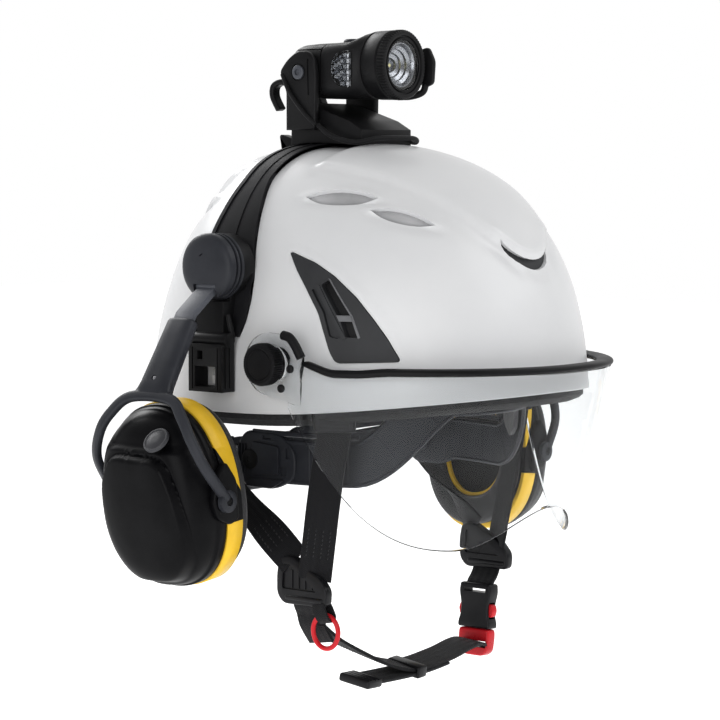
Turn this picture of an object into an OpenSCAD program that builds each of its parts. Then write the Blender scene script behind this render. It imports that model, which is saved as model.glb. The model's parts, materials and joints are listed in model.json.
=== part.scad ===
// Arborist climbing helmet with eye visor, cap-mounted earmuffs and a head lamp.
// +Z is up, the front faces -Y and the wearer's left is +X.
// The origin is the centre of the head opening, level with the side rim.

/* [Shell] */
// Reach of the shell forward of its centre
shell_front = 171; // [162:1:176]
// Reach of the shell behind its centre
shell_back = 106; // [98:1:112]
// Half width of the shell
shell_half_w = 113; // [110:1:116]
// Height of the crown above the side rim
shell_top = 155; // [150:1:158]
// Wall thickness of the shell
shell_t = 2.6; // [2:0.1:3.5]
// Rise of the rim at the brow
brow_rise = 13; // [8:1:18]
// Drop of the rim at the nape
nape_drop = 6; // [2:1:10]
// Thickness of the foam liner
liner_t = 17; // [12:1:20]

/* [Visor] */
// Largest gap between the shell and the lens
visor_gap = 14; // [12:0.5:16]
// Thickness of the lens
lens_t = 2; // [1.5:0.1:3]
// Height of the lens at its deepest
lens_drop = 104; // [92:1:110]
// Diameter of the side knobs
knob_d = 25; // [20:1:28]

/* [Earmuffs] */
// Width of an ear cup
cup_w = 80; // [74:1:84]
// Height of an ear cup
cup_h = 108; // [100:1:112]
// Diameter of the swing hub
hub_d = 39; // [36:1:42]
// Outward flare of the arms, in degrees
arm_flare = 32; // [30:0.5:34]

/* [Lamp] */
// Outer diameter of the lamp bezel
bezel_d = 42; // [38:1:44]
// Width of the lamp body
lamp_w = 52; // [48:1:54]

/* [Harness] */
// Width of the webbing
web_w = 20; // [15:1:22]
// Thickness of the webbing
web_t = 1.6; // [1.2:0.1:2]
// Diameter of the sizing dial
dial_d = 34; // [28:1:36]

/* [Hidden] */
$fn = 48;

white = "gainsboro";
black = [0.12, 0.12, 0.13];
graphite = [0.25, 0.26, 0.28];
yellow = [0.93, 0.77, 0.18];
red = [0.8, 0.1, 0.14];
clear = [0.85, 0.9, 0.95, 0.4];

cy = 20;
base_z = -14;
plan_m = 2.2;
n_front = 2.65;
n_back = 1.75;
n_side = 2.75;
gap = 0.3;
fit = 0.05;
eps = 0.01;
aim_z = 20;

vis_y = -28.5;
vis_z = 30;
lens_z = 27;
mount_x = 108;
lug_x = 115.5;
lug_r = 18;

muff_y = 12;
hub_z = 85;
hub_x = 113.2;
pin_x = 121.5;
pin_z = 74;
arm_x = 131;
arm_z = 77;
cup_x = 158;
cup_z = -45;
cup_tip = 6;
cup_lean = 6;
cup_in = 26;
stud_r = 2.5;
fork_s = 76;
elbow_s = 22;

lamp_z = 204;
lamp_pivot_y = 22;
lamp_pivot_z = 200;

div_x = 90;
div_y = -33;
div_z = -99;
ring_r = 9.6;
ring_x = -div_x;
ring_y = -48.3;
ring_z = -117.5;
buckle_x = 79;
buckle_y = -35;
buckle_z = -121.5;
buckle_tip = 4.5;

// ---- geometry of the shell ----
function shell_n(u) =
    let (w = (cos(u) + 1) / 2, n = n_front * w + n_back * (1 - w))
    n + (n_side - (n_front + n_back) / 2) * pow(sin(u), 2);
function plan_r(u, d) =
    pow(pow(abs(cos(u)) / ((cos(u) > 0 ? shell_front : shell_back) + d), plan_m)
        + pow(abs(sin(u)) / (shell_half_w + d), plan_m), -1 / plan_m);
function rim_z(u) = cos(u) > 0 ? brow_rise * pow(cos(u), 3) : -nape_drop * pow(cos(u), 2);
function polar(u, r, z) = [r * sin(u), cy - r * cos(u), z];
function dome_pt(u, a, d) =
    let (e = 2 / shell_n(u))
    polar(u, plan_r(u, d) * pow(cos(a), e), base_z + (shell_top + d - base_z) * pow(sin(a), e));
function angle_at(u, z, d) = asin(pow((z - base_z) / (shell_top + d - base_z), shell_n(u) / 2));
function wall_pt(u, z, d) = dome_pt(u, angle_at(u, z, d), d);

// ---- helpers ----
function tri2(a, b, c, d) = [[a, b, c], [a, c, d]];
function lerp(a, b, t) = a + (b - a) * t;
function unit(v) = v / norm(v);
function bump(t) = (1 - cos(180 * min(max(t, 0), 1))) / 2;
function spline_pt(p, i, t) =
    let (n = len(p), a = p[max(i - 1, 0)], b = p[i], c = p[min(i + 1, n - 1)], d = p[min(i + 2, n - 1)])
    0.5 * (2 * b + (c - a) * t + (2 * a - 5 * b + 4 * c - d) * t * t
        + (3 * b - a - 3 * c + d) * t * t * t);
function spline(p, steps) = [for (i = [0:len(p) - 2]) for (k = [0:steps - 1]) spline_pt(p, i, k / steps),
    p[len(p) - 1]];
function oval(w, h, m = 2.3, count = 40) =
    [for (i = [0:count - 1]) let (a = 360 * i / count + 180 / count, c = cos(a), s = sin(a),
        r = pow(pow(abs(c) / (w / 2), m) + pow(abs(s) / (h / 2), m), -1 / m)) [r * c, r * s]];

// Closed surface through a row of rings, every ring with the same even number of points
module skin(rows, closed = false) {
    n = len(rows[0]);
    m = len(rows);
    side = [for (i = [0:closed ? m - 1 : m - 2]) for (j = [0:n - 1])
        let (k = (i + 1) % m, l = (j + 1) % n)
        for (f = tri2(i * n + j, k * n + j, k * n + l, i * n + l)) f];
    ends = closed ? [] : [for (j = [0:n / 2 - 2]) let (q = n - 2 - j, r = n - 1 - j, z = (m - 1) * n)
        for (f = concat(tri2(j, j + 1, q, r), tri2(z + j, z + r, z + q, z + j + 1))) f];
    polyhedron(points = [for (row = rows) for (p = row) p], faces = concat(side, ends), convexity = 8);
}

// Dome wall between two offsets from the shell's outer surface
module dome(d_out, d_in, dz = 0, cols = 60, rows = 12) {
    function ring(j, d) = [for (i = [0:cols - 1])
        let (u = 360 * i / cols, a0 = angle_at(u, rim_z(u) + dz, d)) dome_pt(u, lerp(a0, 90, j / rows), d)];
    outer = [for (j = [0:rows - 1]) for (p = ring(j, d_out)) p];
    inner = [for (j = [0:rows - 1]) for (p = ring(j, d_in)) p];
    t = cols * rows;
    s = t + 1;
    walls = [for (j = [0:rows - 2]) for (i = [0:cols - 1]) let (k = (i + 1) % cols, a = j * cols, b = a + cols)
        for (f = concat(tri2(a + i, b + i, b + k, a + k), tri2(s + a + k, s + b + k, s + b + i, s + a + i))) f];
    caps = [for (i = [0:cols - 1]) let (k = (i + 1) % cols, a = (rows - 1) * cols)
        for (f = [[a + i, t, a + k], [s + a + k, s + t, s + a + i]]) f];
    rim = [for (i = [0:cols - 1]) let (k = (i + 1) % cols) for (f = tri2(i, k, s + k, s + i)) f];
    polyhedron(points = concat(outer, [[0, cy, shell_top + d_out]], inner, [[0, cy, shell_top + d_in]]),
        faces = concat(walls, caps, rim), convexity = 10);
}

module moulded() {
    resize([0, 0, 0]) children();
}

module on_left() {
    children();
}

module on_right() {
    mirror([1, 0, 0]) children();
}

module both_sides() {
    children();
    mirror([1, 0, 0]) children();
}

// Places a shape on the dome with local +Z along the line from the head's centre
module aim(c, roll = 0) {
    v = c - [0, cy, aim_z];
    translate(c) rotate([0, acos(v.z / norm(v)), atan2(v.y, v.x)]) rotate(roll) children();
}

module x_cyl(x0, x1, r) {
    translate([x0, 0, 0]) rotate([0, 90, 0]) cylinder(h = x1 - x0, r = r);
}

module y_cyl(y0, y1, r) {
    translate([0, y1, 0]) rotate([90, 0, 0]) cylinder(h = y1 - y0, r = r);
}

module box(x0, x1, y0, y1, z0, z1) {
    translate([x0, y0, z0]) cube([x1 - x0, y1 - y0, z1 - z0]);
}

// Flat webbing or band along a list of points, width across the given direction
module webbing(path, across, w, t) {
    rows = [for (i = [0:len(path) - 1])
        let (q = unit(path[min(i + 1, len(path) - 1)] - path[max(i - 1, 0)]),
            a = unit(across - q * (across * q)), b = cross(q, a))
        [path[i] - a * w / 2 - b * t / 2, path[i] + a * w / 2 - b * t / 2,
            path[i] + a * w / 2 + b * t / 2, path[i] - a * w / 2 + b * t / 2]];
    skin(rows);
}

// Round rod along a list of points
module rod(path, r, sides = 10) {
    rows = [for (i = [0:len(path) - 1])
        let (q = unit(path[min(i + 1, len(path) - 1)] - path[max(i - 1, 0)]),
            h = abs(q.x) < 0.8 ? [1, 0, 0] : [0, 0, 1], a = unit(cross(q, h)), b = cross(q, a))
        [for (k = [0:sides - 1]) path[i] + r * (a * cos(360 * k / sides) + b * sin(360 * k / sides))]];
    skin(rows);
}

// ---- shell group ----
// Outline of the side insert in the YZ plane, grown by g
module side_outline(g = 0) {
    offset(r = g) polygon([[-28, 94.5], [-46, 88], [-59, 80.5], [-73, 69], [-84, 56.5], [-92, 46],
        [-100, 32.5], [-65, 31], [-61, 37], [-58, 45.5], [-52.5, 59.5], [-43, 73.5], [-35, 84]]);
}

module side_prism(g = 0) {
    translate([60, 0, 0]) rotate([90, 0, 90]) linear_extrude(60) side_outline(g);
}

// Crescent of the front vent in the XZ plane
module crescent(g = 0) {
    offset(r = g) difference() {
        translate([0, 107]) circle(r = 24);
        translate([0, 117]) circle(r = 28);
    }
}

module front_prism(g = 0) {
    translate([0, -100, 0]) rotate([90, 0, 0]) linear_extrude(60) crescent(g);
}

// Centres and rolls of the ridge vents on the left half
VENTS = [[[72, -46, 125], 16, 43, 9.5], [[62, -83, 114], 30, 38, 7.5], [[62, 66, 112], -24, 40, 9]];

module lens_shape(len, w, g = 0) {
    rr = (len * len / 4 + w * w / 4) / w;
    linear_extrude(60, center = true) offset(r = g) intersection() {
        translate([rr - w / 2, 0]) circle(r = rr);
        translate([-rr + w / 2, 0]) circle(r = rr);
    }
}

module ridge_prisms(g = 0) {
    both_sides() for (v = VENTS) aim(v[0], v[1]) lens_shape(v[2], v[3], g);
}

module outer_shell() {
    color(white) moulded() difference() {
        dome(0, -shell_t, 0, 64, 14);
        both_sides() side_prism(0);
        front_prism(0);
        ridge_prisms(0);
        both_sides() translate([mount_x - 20, vis_y, vis_z]) x_cyl(0, 40, 5 + gap);
    }
}

module impact_liner() {
    color(black) moulded() difference() {
        dome(-shell_t - 0.7, -shell_t - liner_t, -4, 48, 9);
        both_sides() for (u = [anchor_front_u, anchor_rear_u]) anchor_place(u) box(-5, 5, -13, 13, -30, 12);
        both_sides() translate([mount_x - 20, vis_y, vis_z]) x_cyl(0, 40, 8);
    }
}

module side_insert() {
    color(black) moulded() difference() {
        intersection() {
            dome(1, -shell_t, 0, 60, 14);
            side_prism(-0.2);
        }
        for (z = [40, 60]) translate([60, 0, 0]) rotate([90, 0, 90]) linear_extrude(60)
            polygon([[-85 + (z - 40) * 0.45, z + 2], [-74 + (z - 40) * 0.5, z + 2],
                [-69 + (z - 40) * 0.5, z + 16], [-76 + (z - 40) * 0.45, z + 16]]);
    }
}

module front_vent_insert() {
    color(black) moulded() intersection() {
        dome(-0.6, -shell_t, 0, 60, 14);
        front_prism(-0.2);
    }
}

module ridge_vent_inserts() {
    color("silver") moulded() intersection() {
        dome(-1.2, -shell_t, 0, 60, 14);
        ridge_prisms(-0.2);
    }
}

module crown_band() {
    color(black) moulded() difference() {
        intersection() {
            dome(2.7, gap, 0, 64, 14);
            translate([-140, 0, 0]) rotate([90, 0, 90]) linear_extrude(280) polygon([[-1, 45], [-7, 60],
                [-7, 80], [-2, 105], [6, 135], [6, 200], [30, 200], [28, 130], [34, 105], [34, 60], [30, 45]]);
        }
        both_sides() translate([90, muff_y, hub_z]) x_cyl(0, 40, hub_d / 2);
        both_sides() box(100, 130, muff_y - 13.5, muff_y + 17, 40, hub_z);
    }
}

// ---- visor ----
LENS_U = 62;
SEAL_U = 58;
NOTCH_U = 22;
notch_rise = 23;
function lens_r(u, z) = let (k = abs(u) / LENS_U)
    (plan_r(u, 0) + lerp(visor_gap, 9.5, k * k)) * (1 - 0.12 * pow(max(lens_z - z, 0) / 88, 1.5));
function lens_low(u) = let (s = abs(u), a = 1 - s / NOTCH_U, b = (s - NOTCH_U) / (LENS_U - NOTCH_U))
    lens_z - lens_drop + (s < NOTCH_U ? notch_rise * a * a : (lens_drop - 22) * pow(b, 2.3));

function lens_top(u) = lens_z - 2.1 - bump((abs(u) - 38) / 8) * 1.4 + bump((abs(u) - 50) / 8) * 5;

module visor_sheet() {
    cols = 38;
    rows = 7;
    function col(u) = concat(
        [for (j = [0:rows]) let (z = lerp(lens_top(u), lens_low(u), j / rows)) polar(u, lens_r(u, z), z)],
        [for (j = [rows:-1:0]) let (z = lerp(lens_top(u), lens_low(u), j / rows))
            polar(u, lens_r(u, z) - lens_t, z)]);
    skin([for (i = [0:cols]) col(lerp(-LENS_U, LENS_U, i / cols))]);
}

module visor_lens() {
    color(clear) difference() {
        moulded() union() {
            visor_sheet();
            both_sides() lens_lug();
        }
        both_sides() translate([0, vis_y, vis_z]) {
            x_cyl(lug_x - 6, lug_x + 8, 6 + fit);
            x_cyl(mount_x, lug_x - 0.05, 11.5);
        }
    }
}

module lens_lug() {
    p = polar(LENS_U - 3, lens_r(LENS_U, lens_z) - lens_t, lens_z);
    hull() {
        translate([0, vis_y, vis_z]) x_cyl(lug_x, lug_x + lens_t, lug_r);
        translate([p.x, p.y - 1, lens_z - 20]) cube([lens_t, 4, 20]);
    }
}

module visor_brow_seal() {
    cols = 36;
    function col(u) = let (ro = lens_r(u, lens_z) + 1.5, ri = plan_r(u, 0) + 4.2, z = lens_top(u) + 0.3)
        [polar(u, ro, z + 3.6), polar(u, ro, z), polar(u, ri, z), polar(u, ri, z + 3.6)];
    color(black) skin([for (i = [0:cols]) col(lerp(-SEAL_U, SEAL_U, i / cols))]);
}

module visor_rivets() {
    color(black) both_sides() for (a = [187, 234])
        translate([lug_x + lens_t, vis_y + 15.4 * cos(a), vis_z + 15.4 * sin(a)]) x_cyl(0, 1.6, 2.2);
}

module visor_mount() {
    color(black) translate([0, vis_y, vis_z]) difference() {
        union() {
            x_cyl(mount_x - 8, lug_x - 0.4, 5);
            x_cyl(mount_x + 4, lug_x - 0.4, 11);
            x_cyl(lug_x - 1, lug_x + lens_t + 0.3, 6);
        }
        x_cyl(lug_x - 8, lug_x + 10, 2.5 + fit);
    }
}

module knob() {
    color(black) translate([0, vis_y, vis_z]) union() {
        x_cyl(lug_x - 7, lug_x + lens_t + 1, 2.5);
        difference() {
            x_cyl(lug_x + lens_t + 0.6, lug_x + lens_t + 9, knob_d / 2);
            for (a = [0:20:340]) rotate([a, 0, 0]) translate([0, knob_d / 2 + 0.4, 0])
                x_cyl(lug_x + lens_t, lug_x + lens_t + 10, 1);
        }
    }
}

// ---- earmuffs, drawn on the wearer's left ----
module muff_adapter() {
    color(graphite) difference() {
        union() {
            box(113.6, 125, muff_y - 11, muff_y + 15, 12, 40);
            box(106, hub_x, muff_y - 8, muff_y + 13, 38, hub_z - 10);
            box(112.6, 120, muff_y - 8, muff_y + 13, 39, hub_z - hub_d / 2 - 0.7);
            translate([119, muff_y - 12.5, 42.5]) y_cyl(0, 29, 4.2, $fn = 24);
            translate([0, muff_y, hub_z]) x_cyl(104.5, hub_x, hub_d / 2 - 0.5);
            translate([0, muff_y, hub_z]) x_cyl(hub_x - 1, hub_x + 4.5, 6);
        }
        box(112, 140, muff_y - 6, muff_y + 10, 15, 27);
        box(116, 140, muff_y + 4, muff_y + 8, 31, 36);
        shell_keepout();
    }
}

// Body of the shell and band, kept clear by the adapter
module shell_keepout() {
    resize([0, 0, 0]) intersection() {
        dome(gap, -12, 0, 60, 14);
        box(60, 140, -30, 50, -40, 130);
    }
}

module muff_hub() {
    color(graphite) translate([0, muff_y, 0]) difference() {
        translate([0, 0, hub_z]) difference() {
            union() {
                x_cyl(hub_x + gap, hub_x + 2.6, hub_d / 2);
                x_cyl(hub_x + 2.4, hub_x + 4, hub_d / 2 - 1.6);
                x_cyl(hub_x + 3.8, hub_x + 6, hub_d / 2);
                x_cyl(hub_x + 5.8, hub_x + 7.4, hub_d / 2 - 1.6);
                x_cyl(hub_x + 7.2, hub_x + 11.5, hub_d / 2);
                translate([hub_x + 11.5 - eps, 0, 0]) rotate([0, 90, 0]) rotate_extrude()
                    polygon([[0, 0], [hub_d / 2, 0], [hub_d / 2 - 1, 1.4], [hub_d / 2 - 4, 2.6], [0, 3.4]]);
            }
            x_cyl(hub_x - 1, hub_x + 4.8, 6 + fit);
        }
        box(pin_x - 4.9, hub_x + 40, -8.5, 8.5, 40, pin_z + 5);
        translate([pin_x, 0, pin_z]) y_cyl(-12, 12, 2);
    }
}

module hub_pin() {
    color("silver") translate([pin_x, muff_y, pin_z]) y_cyl(-12, 12, 2);
}

// Frame of the arm: -Z down the arm, +X outward
module arm_frame() {
    translate([arm_x, muff_y, arm_z]) rotate([0, -arm_flare, 0]) children();
}

module arm_slider() {
    pin = arm_inverse([pin_x, muff_y, pin_z]);
    v = unit([0, 0, elbow_s] + pin);
    n = 1.75 * [-v.z, 0, v.x];
    bend = 1.75 * (v.z - 1) / v.x;
    color([0.5, 0.51, 0.53]) arm_frame() difference() {
        union() {
            translate(pin) y_cyl(-8.2, 8.2, 4.4);
            rotate([90, 0, 0]) linear_extrude(14, center = true) polygon([[pin.x - n.x, pin.z - n.z],
                [1.75, -elbow_s + bend], [1.75, -66], [-1.75, -66], [-1.75, -elbow_s - bend],
                [pin.x + n.x, pin.z + n.z]]);
        }
        translate(pin) y_cyl(-9, 9, 2 + fit);
    }
}

// Points down one leg of the bail, Y measured from the arm's middle
BAIL = [[173, 15, 12], [177, 28, 2], [178, 36, -10], [173, 42.5, -26]];

module arm_fork() {
    stud = arm_inverse([cup_x, muff_y, cup_z]);
    leg = concat([for (p = BAIL) let (q = arm_inverse(p)) [q.x, p.y, q.z]], [[stud.x, 44.8, stud.z]]);
    bow = concat([for (i = [4:-1:0]) [leg[i].x, -leg[i].y, leg[i].z]], leg);
    color(graphite) arm_frame() difference() {
        union() {
            difference() {
                box(-4.6, 4.6, -10.5, 10.5, -fork_s + 1, -elbow_s - 4);
                box(-2.1, 2.1, -7.35, 7.35, -68, -10);
            }
            rod(spline(bow, 3), 2.6, 8);
            translate(stud) for (s = [-1, 1]) y_cyl(s * 44.6 - 2, s * 44.6 + 2, 6.5);
        }
        translate(stud) y_cyl(-50, 50, stud_r + fit);
    }
}

// A world point seen in the arm frame
function arm_inverse(p) = let (q = p - [arm_x, muff_y, arm_z], c = cos(arm_flare), s = sin(arm_flare))
    [q.x * c + q.z * s, q.y, -q.x * s + q.z * c];

// Frame of the cup: origin on the tilt axis, +X outward
module cup_frame() {
    translate([cup_x, muff_y, cup_z]) rotate([0, cup_tip, 0]) children();
}

// Oval ring of a cup at depth x and scale k
function cup_ring(x, k, w = cup_w, h = cup_h) = [for (p = oval(w * k, h * k))
    let (c = cos(cup_lean), s = sin(cup_lean)) [x, p.y * s - p.x * c, p.x * s + p.y * c]];

module cup_solid(levels) {
    skin([for (l = levels) cup_ring(l[0], l[1])]);
}

module cup_shell() {
    color(black) cup_frame() difference() {
        union() {
            moulded() difference() {
                cup_solid([[26, 0.5], [24.5, 0.68], [20, 0.82], [12, 0.92], [3, 0.97], [2.2, 0.985],
                    [-4, 0.985], [-4.2, 0.93], [-18, 0.93]]);
                cup_solid([[22, 0.5], [19, 0.7], [10, 0.83], [-2, 0.88], [-19, 0.88]]);
                translate([21.5, -14, 37]) rotate([0, 62, 0]) cylinder(h = 12, r = 8.6);
            }
            for (s = [-1, 1]) y_cyl(min(s * 36, s * 46.6), max(s * 36, s * 46.6), stud_r);
        }
        translate([0, -34, -10]) cube([5, 68, 20]);
    }
}

module cup_trim() {
    color(yellow) cup_frame() moulded() difference() {
        cup_solid([[-4.4, 1.0], [-17.6, 1.0]]);
        cup_solid([[-4, 0.937], [-18.2, 0.937]]);
        for (s = [-1, 1]) translate([0, s * 38, 0]) cube([30, 12, 14], center = true);
    }
}

module cup_cushion() {
    color(black) cup_frame() moulded() difference() {
        cup_solid([[-18.3, 0.9], [-19.5, 0.97], [-cup_in + 3, 0.95], [-cup_in, 0.86]]);
        cup_solid([[-15, 0.6], [-20, 0.6], [-cup_in - 1, 0.66]]);
    }
}

module cup_foam() {
    color(yellow) cup_frame() moulded() cup_solid([[-2, 0.8], [-11.9, 0.8]]);
}

module cup_plug() {
    color([0.33, 0.34, 0.36]) cup_frame() translate([21.5, -14, 37]) rotate([0, 62, 0])
        translate([0, 0, gap]) cylinder(h = 2, r = 8.3);
}

// ---- lamp ----
module lamp_base() {
    color(black) difference() {
        union() {
            translate([-24, 0, 0]) rotate([90, 0, 90]) linear_extrude(48) polygon([[-22, 145], [34, 145],
                [33, 180.5], [22, 181.5], [-12, 170.5], [-22, 165]]);
            box(-30.5, 30.5, 10, 32, 165, 171);
            both_sides() box(27, 30.5, 10, 32, 165, 196);
            both_sides() translate([0, lamp_pivot_y, lamp_pivot_z]) x_cyl(27, 30.5, 10);
        }
        resize([0, 0, 0]) dome(3, -30, 0, 60, 14);
        both_sides() translate([0, lamp_pivot_y, lamp_pivot_z]) x_cyl(20, 40, 2.5);
    }
}

module lamp_pivots() {
    color("dimgray") both_sides() translate([0, lamp_pivot_y, lamp_pivot_z]) union() {
        x_cyl(22, 30.5, 2.5);
        x_cyl(30.5, 32.5, 4.5);
    }
}

module lamp_elastic() {
    half = [[29, 8.2, 168], [30, -4, 161], [29, -21, 157.5], [16, -29.5, 160]];
    path = spline(concat([for (i = [0:3]) [-half[i].x, half[i].y, half[i].z]],
        [for (i = [3:-1:0]) half[i]]), 3);
    color(black) moulded() rod(path, 1.4, 8);
}

module lamp_body() {
    color(black) difference() {
        union() {
            box(-lamp_w / 2, lamp_w / 2, -14, 34, 184, 218);
            translate([0, 0, lamp_z]) y_cyl(-26, -13, 18);
        }
        translate([0, 0, lamp_z]) y_cyl(-30, -24, 15);
        translate([0, 0, lamp_z]) y_cyl(-30, -20, 11);
        both_sides() translate([0, lamp_pivot_y, lamp_pivot_z]) x_cyl(20, 40, 2.5 + fit);
        both_sides() box(lamp_w / 2 - 1.5, 40, -12, -1, 192, 212);
        translate([0, 4, 210]) cylinder(h = 20, r = 6 + gap);
    }
}

module lamp_windows() {
    color("silver") both_sides() box(lamp_w / 2 - 1.4, lamp_w / 2 + 0.4, -11.8, -1.2, 192.2, 211.8);
}

module lamp_bezel() {
    color(black) translate([0, 0, lamp_z]) difference() {
        y_cyl(-36, -18, bezel_d / 2);
        y_cyl(-40, -33, 15);
        y_cyl(-34, -26.2, 13);
        y_cyl(-26.6, -10, 18 + fit);
        for (a = [0:15:345]) rotate([0, a, 0]) translate([bezel_d / 2 + 0.5, 0, 0]) y_cyl(-33, -17, 1.2);
    }
}

module lamp_lens() {
    color(clear) translate([0, 0, lamp_z]) y_cyl(-35, -33, 15);
}

module lamp_button() {
    color(graphite) translate([0, 4, 0]) union() {
        translate([0, 0, 213.5]) cylinder(h = 7, r = 6);
    }
}

// ---- head harness ----
anchor_front_u = 50;
anchor_rear_u = 112;
temple_y = 14;
temple_z = -31;
// Corners of the rounded plate over the temple pin, as Y and Z from the pin
TEMPLE_PLATE = [[-27, 5], [-27, -6], [-18, 10], [-16, -10], [-2, 10], [-2, -10], [4, 2], [4, -3]];

module anchor_place(u) {
    p = wall_pt(u, -2, -shell_t - liner_t / 2);
    translate([p.x, p.y, rim_z(u) - 4]) rotate(u - 90 + (u > 90 ? -4 : 6)) children();
}

module strap_anchors() {
    color(black) both_sides() for (u = [anchor_front_u, anchor_rear_u]) anchor_place(u)
        difference() {
            box(-4, 4, -12, 12, -9, 11);
            box(-1.2, 1.2, -web_w / 2 - 0.5, web_w / 2 + 0.5, -10, 6);
        }
}

function anchor_pt(u, z) = let (p = wall_pt(u, -2, -shell_t - liner_t / 2)) [p.x, p.y, rim_z(u) + z];

// Webbing from below an anchor down to the top of the divider
module strap_run(u, lean, y_off, top) {
    a = anchor_pt(u, top);
    b = anchor_pt(u, top - 8);
    d = [div_x, div_y + y_off, div_z + 16.5];
    webbing(spline([a, b, lerp(b, d, 0.5) + [1.5, 0, 0], d], 3), lean, web_w, web_t);
}

module front_straps() {
    color(black) both_sides() strap_run(anchor_front_u, [0.45, 0.9, 0.1], -7, -16);
    color(black) lower_webs();
}

module rear_straps() {
    color(black) both_sides() strap_run(anchor_rear_u, [-0.1, 0.8, 0.55], 8.5, -21);
}

module strap_dividers() {
    color(black) both_sides() translate([div_x, div_y, div_z]) difference() {
        box(-3, 3, -18, 20, -14, 14);
        box(-1.2, 1.2, -18 + 2.5, -18 + 2.5 + 13, 7.5, 20);
        box(-1.2, 1.2, 3, 17, 7.5, 20);
        box(-1.2, 1.2, -11, 11, -20, -7);
    }
}

// Webbing below the dividers, and the tab that carries the ring
module lower_webs() {
    webbing(spline([[-div_x + 2, div_y, div_z - 17.5], [-87, -34, -118.8], [-85.5, -34.5, -121.2]], 3),
        [0, 1, 0], web_w, web_t);
    webbing(spline([[div_x - 1, div_y, div_z - 15.2], [85.5, -34, -116.5], [80.4, -35, -119.8]], 3),
        [0, 1, 0], web_w, web_t);
    translate([ring_x, ring_y, ring_z]) difference() {
        box(-3.2, 3.2, -3.3, 3.3, -3.7, 3.8);
        y_cyl(-5, 5, 2.3);
    }
}

module red_ring() {
    color(red) translate([ring_x, ring_y, ring_z - ring_r]) rotate([0, 90, 0])
        rotate_extrude() translate([ring_r, 0]) circle(r = 1.45, $fn = 16);
}

module buckle_frame() {
    translate([buckle_x, buckle_y, buckle_z]) rotate([0, buckle_tip, 0]) children();
}

module buckle_socket() {
    color(black) buckle_frame() difference() {
        box(-5, 5, -12, 12, -28, 0);
        box(-3.4, 3.4, -8.8, 8.8, -40, -8);
        for (s = [-1, 1]) box(-2.8, 2.8, s * 11 - 4, s * 11 + 4, -22, -12);
    }
}

module buckle_button(s) {
    color(red) buckle_frame() box(-2.5, 2.5, min(s * 9.1, s * 13.2), max(s * 9.1, s * 13.2), -21.6, -12.4);
}

module buckle_tongue() {
    color(red) buckle_frame() union() {
        box(-4.5, 4.5, -11, 11, -46, -28.6);
        for (s = [-1, 1]) box(-1.6, 1.6, s * 5.6 - 2, s * 5.6 + 2, -29, -12);
    }
}

module chin_strap() {
    color(black) union() {
        translate([-85.3, 0, -125.5]) y_cyl(-45, -25, 1.6);
        webbing(spline([[-85.3, -35, -125.5], [-74, -38, -134], [-54, -42, -144.5], [-33, -44, -154],
            [-8, -45, -160], [25, -44, -158], [50, -41, -155], [69.2, -37, -157.6]], 4),
            [0, 1, 0], web_w, web_t);
    }
}

// ---- headband and nape ----
function band_pt(u, z, d = 0) = [(83 + d) * sin(u), 2 - (u < 90 && u > -90 ? 112 + d : 96 + d) * cos(u), z];

function band_z(u) = lerp(temple_z, 12, pow(cos(u * 0.93), 4));

module headband() {
    path = [for (i = [0:32]) let (u = lerp(-96, 96, i / 32)) band_pt(u, band_z(u))];
    color(graphite) difference() {
        moulded() union() {
            webbing(path, [0, 0, 1], 26, 2.4);
            both_sides() hull() for (p = TEMPLE_PLATE)
                translate([0, temple_y + p.x, temple_z + p.y]) x_cyl(81, 84, 7);
        }
        both_sides() translate([0, temple_y, temple_z]) x_cyl(70, 100, 3);
    }
}

module brow_pad() {
    path = [for (i = [0:18]) let (u = lerp(-46, 46, i / 18)) band_pt(u, band_z(u), -4.6)];
    webbing(path, [0, 0, 1], 28, 5);
}

module comfort_pads() {
    color(black) brow_pad();
    color(black) moulded() intersection() {
        dome(-shell_t - liner_t - 1, -shell_t - liner_t - 7, 0, 40, 8);
        union() {
            box(-12, 12, -70, 100, 60, 200);
            both_sides() box(34, 52, -50, 80, 60, 200);
        }
    }
}

module temple_pins() {
    color("dimgray") both_sides() translate([0, temple_y, temple_z]) union() {
        x_cyl(75.5, 85.5, 3);
        x_cyl(84.3, 86, 6);
    }
}

nape_path = [for (i = [0:30]) let (u = lerp(98, 262, i / 30), k = pow(max(sin((u - 98) * 180 / 164), 0), 1.3))
    [78 * sin(u), 2 - 97 * cos(u), lerp(temple_z, -50, k)]];

module nape_cradle() {
    color(graphite) difference() {
        union() {
            moulded() union() {
                webbing(nape_path, [0, 0, 1], 18, 2.4);
                both_sides() translate([0, temple_y, temple_z]) x_cyl(76.6, 80.4, 9);
            }
            box(-50, 50, 97, 101.4, -66, -36);
            box(-46, 46, 101, 113, -62, -40);
        }
        box(-60, 60, 103.4, 107.4, -57, -45);
        translate([0, 0, -51]) y_cyl(102, 120, 8 + gap);
        both_sides() translate([0, temple_y, temple_z]) x_cyl(70, 100, 3 + fit);
    }
}

module nape_pad() {
    path = [for (p = nape_path) if (p.z < -45.5) [p.x * 0.945, 2 + (p.y - 2) * 0.948, p.z]];
    color(black) webbing(path, [0, 0, 1], 20, 5);
}

module size_dial() {
    color(graphite) translate([0, 0, -51]) union() {
        difference() {
            y_cyl(113.4, 124, dial_d / 2);
            for (a = [0:24:336]) rotate([0, a, 0]) translate([dial_d / 2 + 0.6, 0, 0]) y_cyl(113, 125, 1.6);
        }
        y_cyl(108, 114, 8);
        y_cyl(103.6, 108.2, 3);
    }
}

module size_rack_left() {
    color(black) box(-6, 48, 103.6, 107.2, -47.6, -45.2);
}

module size_rack_right() {
    color(black) box(-48, 6, 103.6, 107.2, -56.8, -54.4);
}

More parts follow.
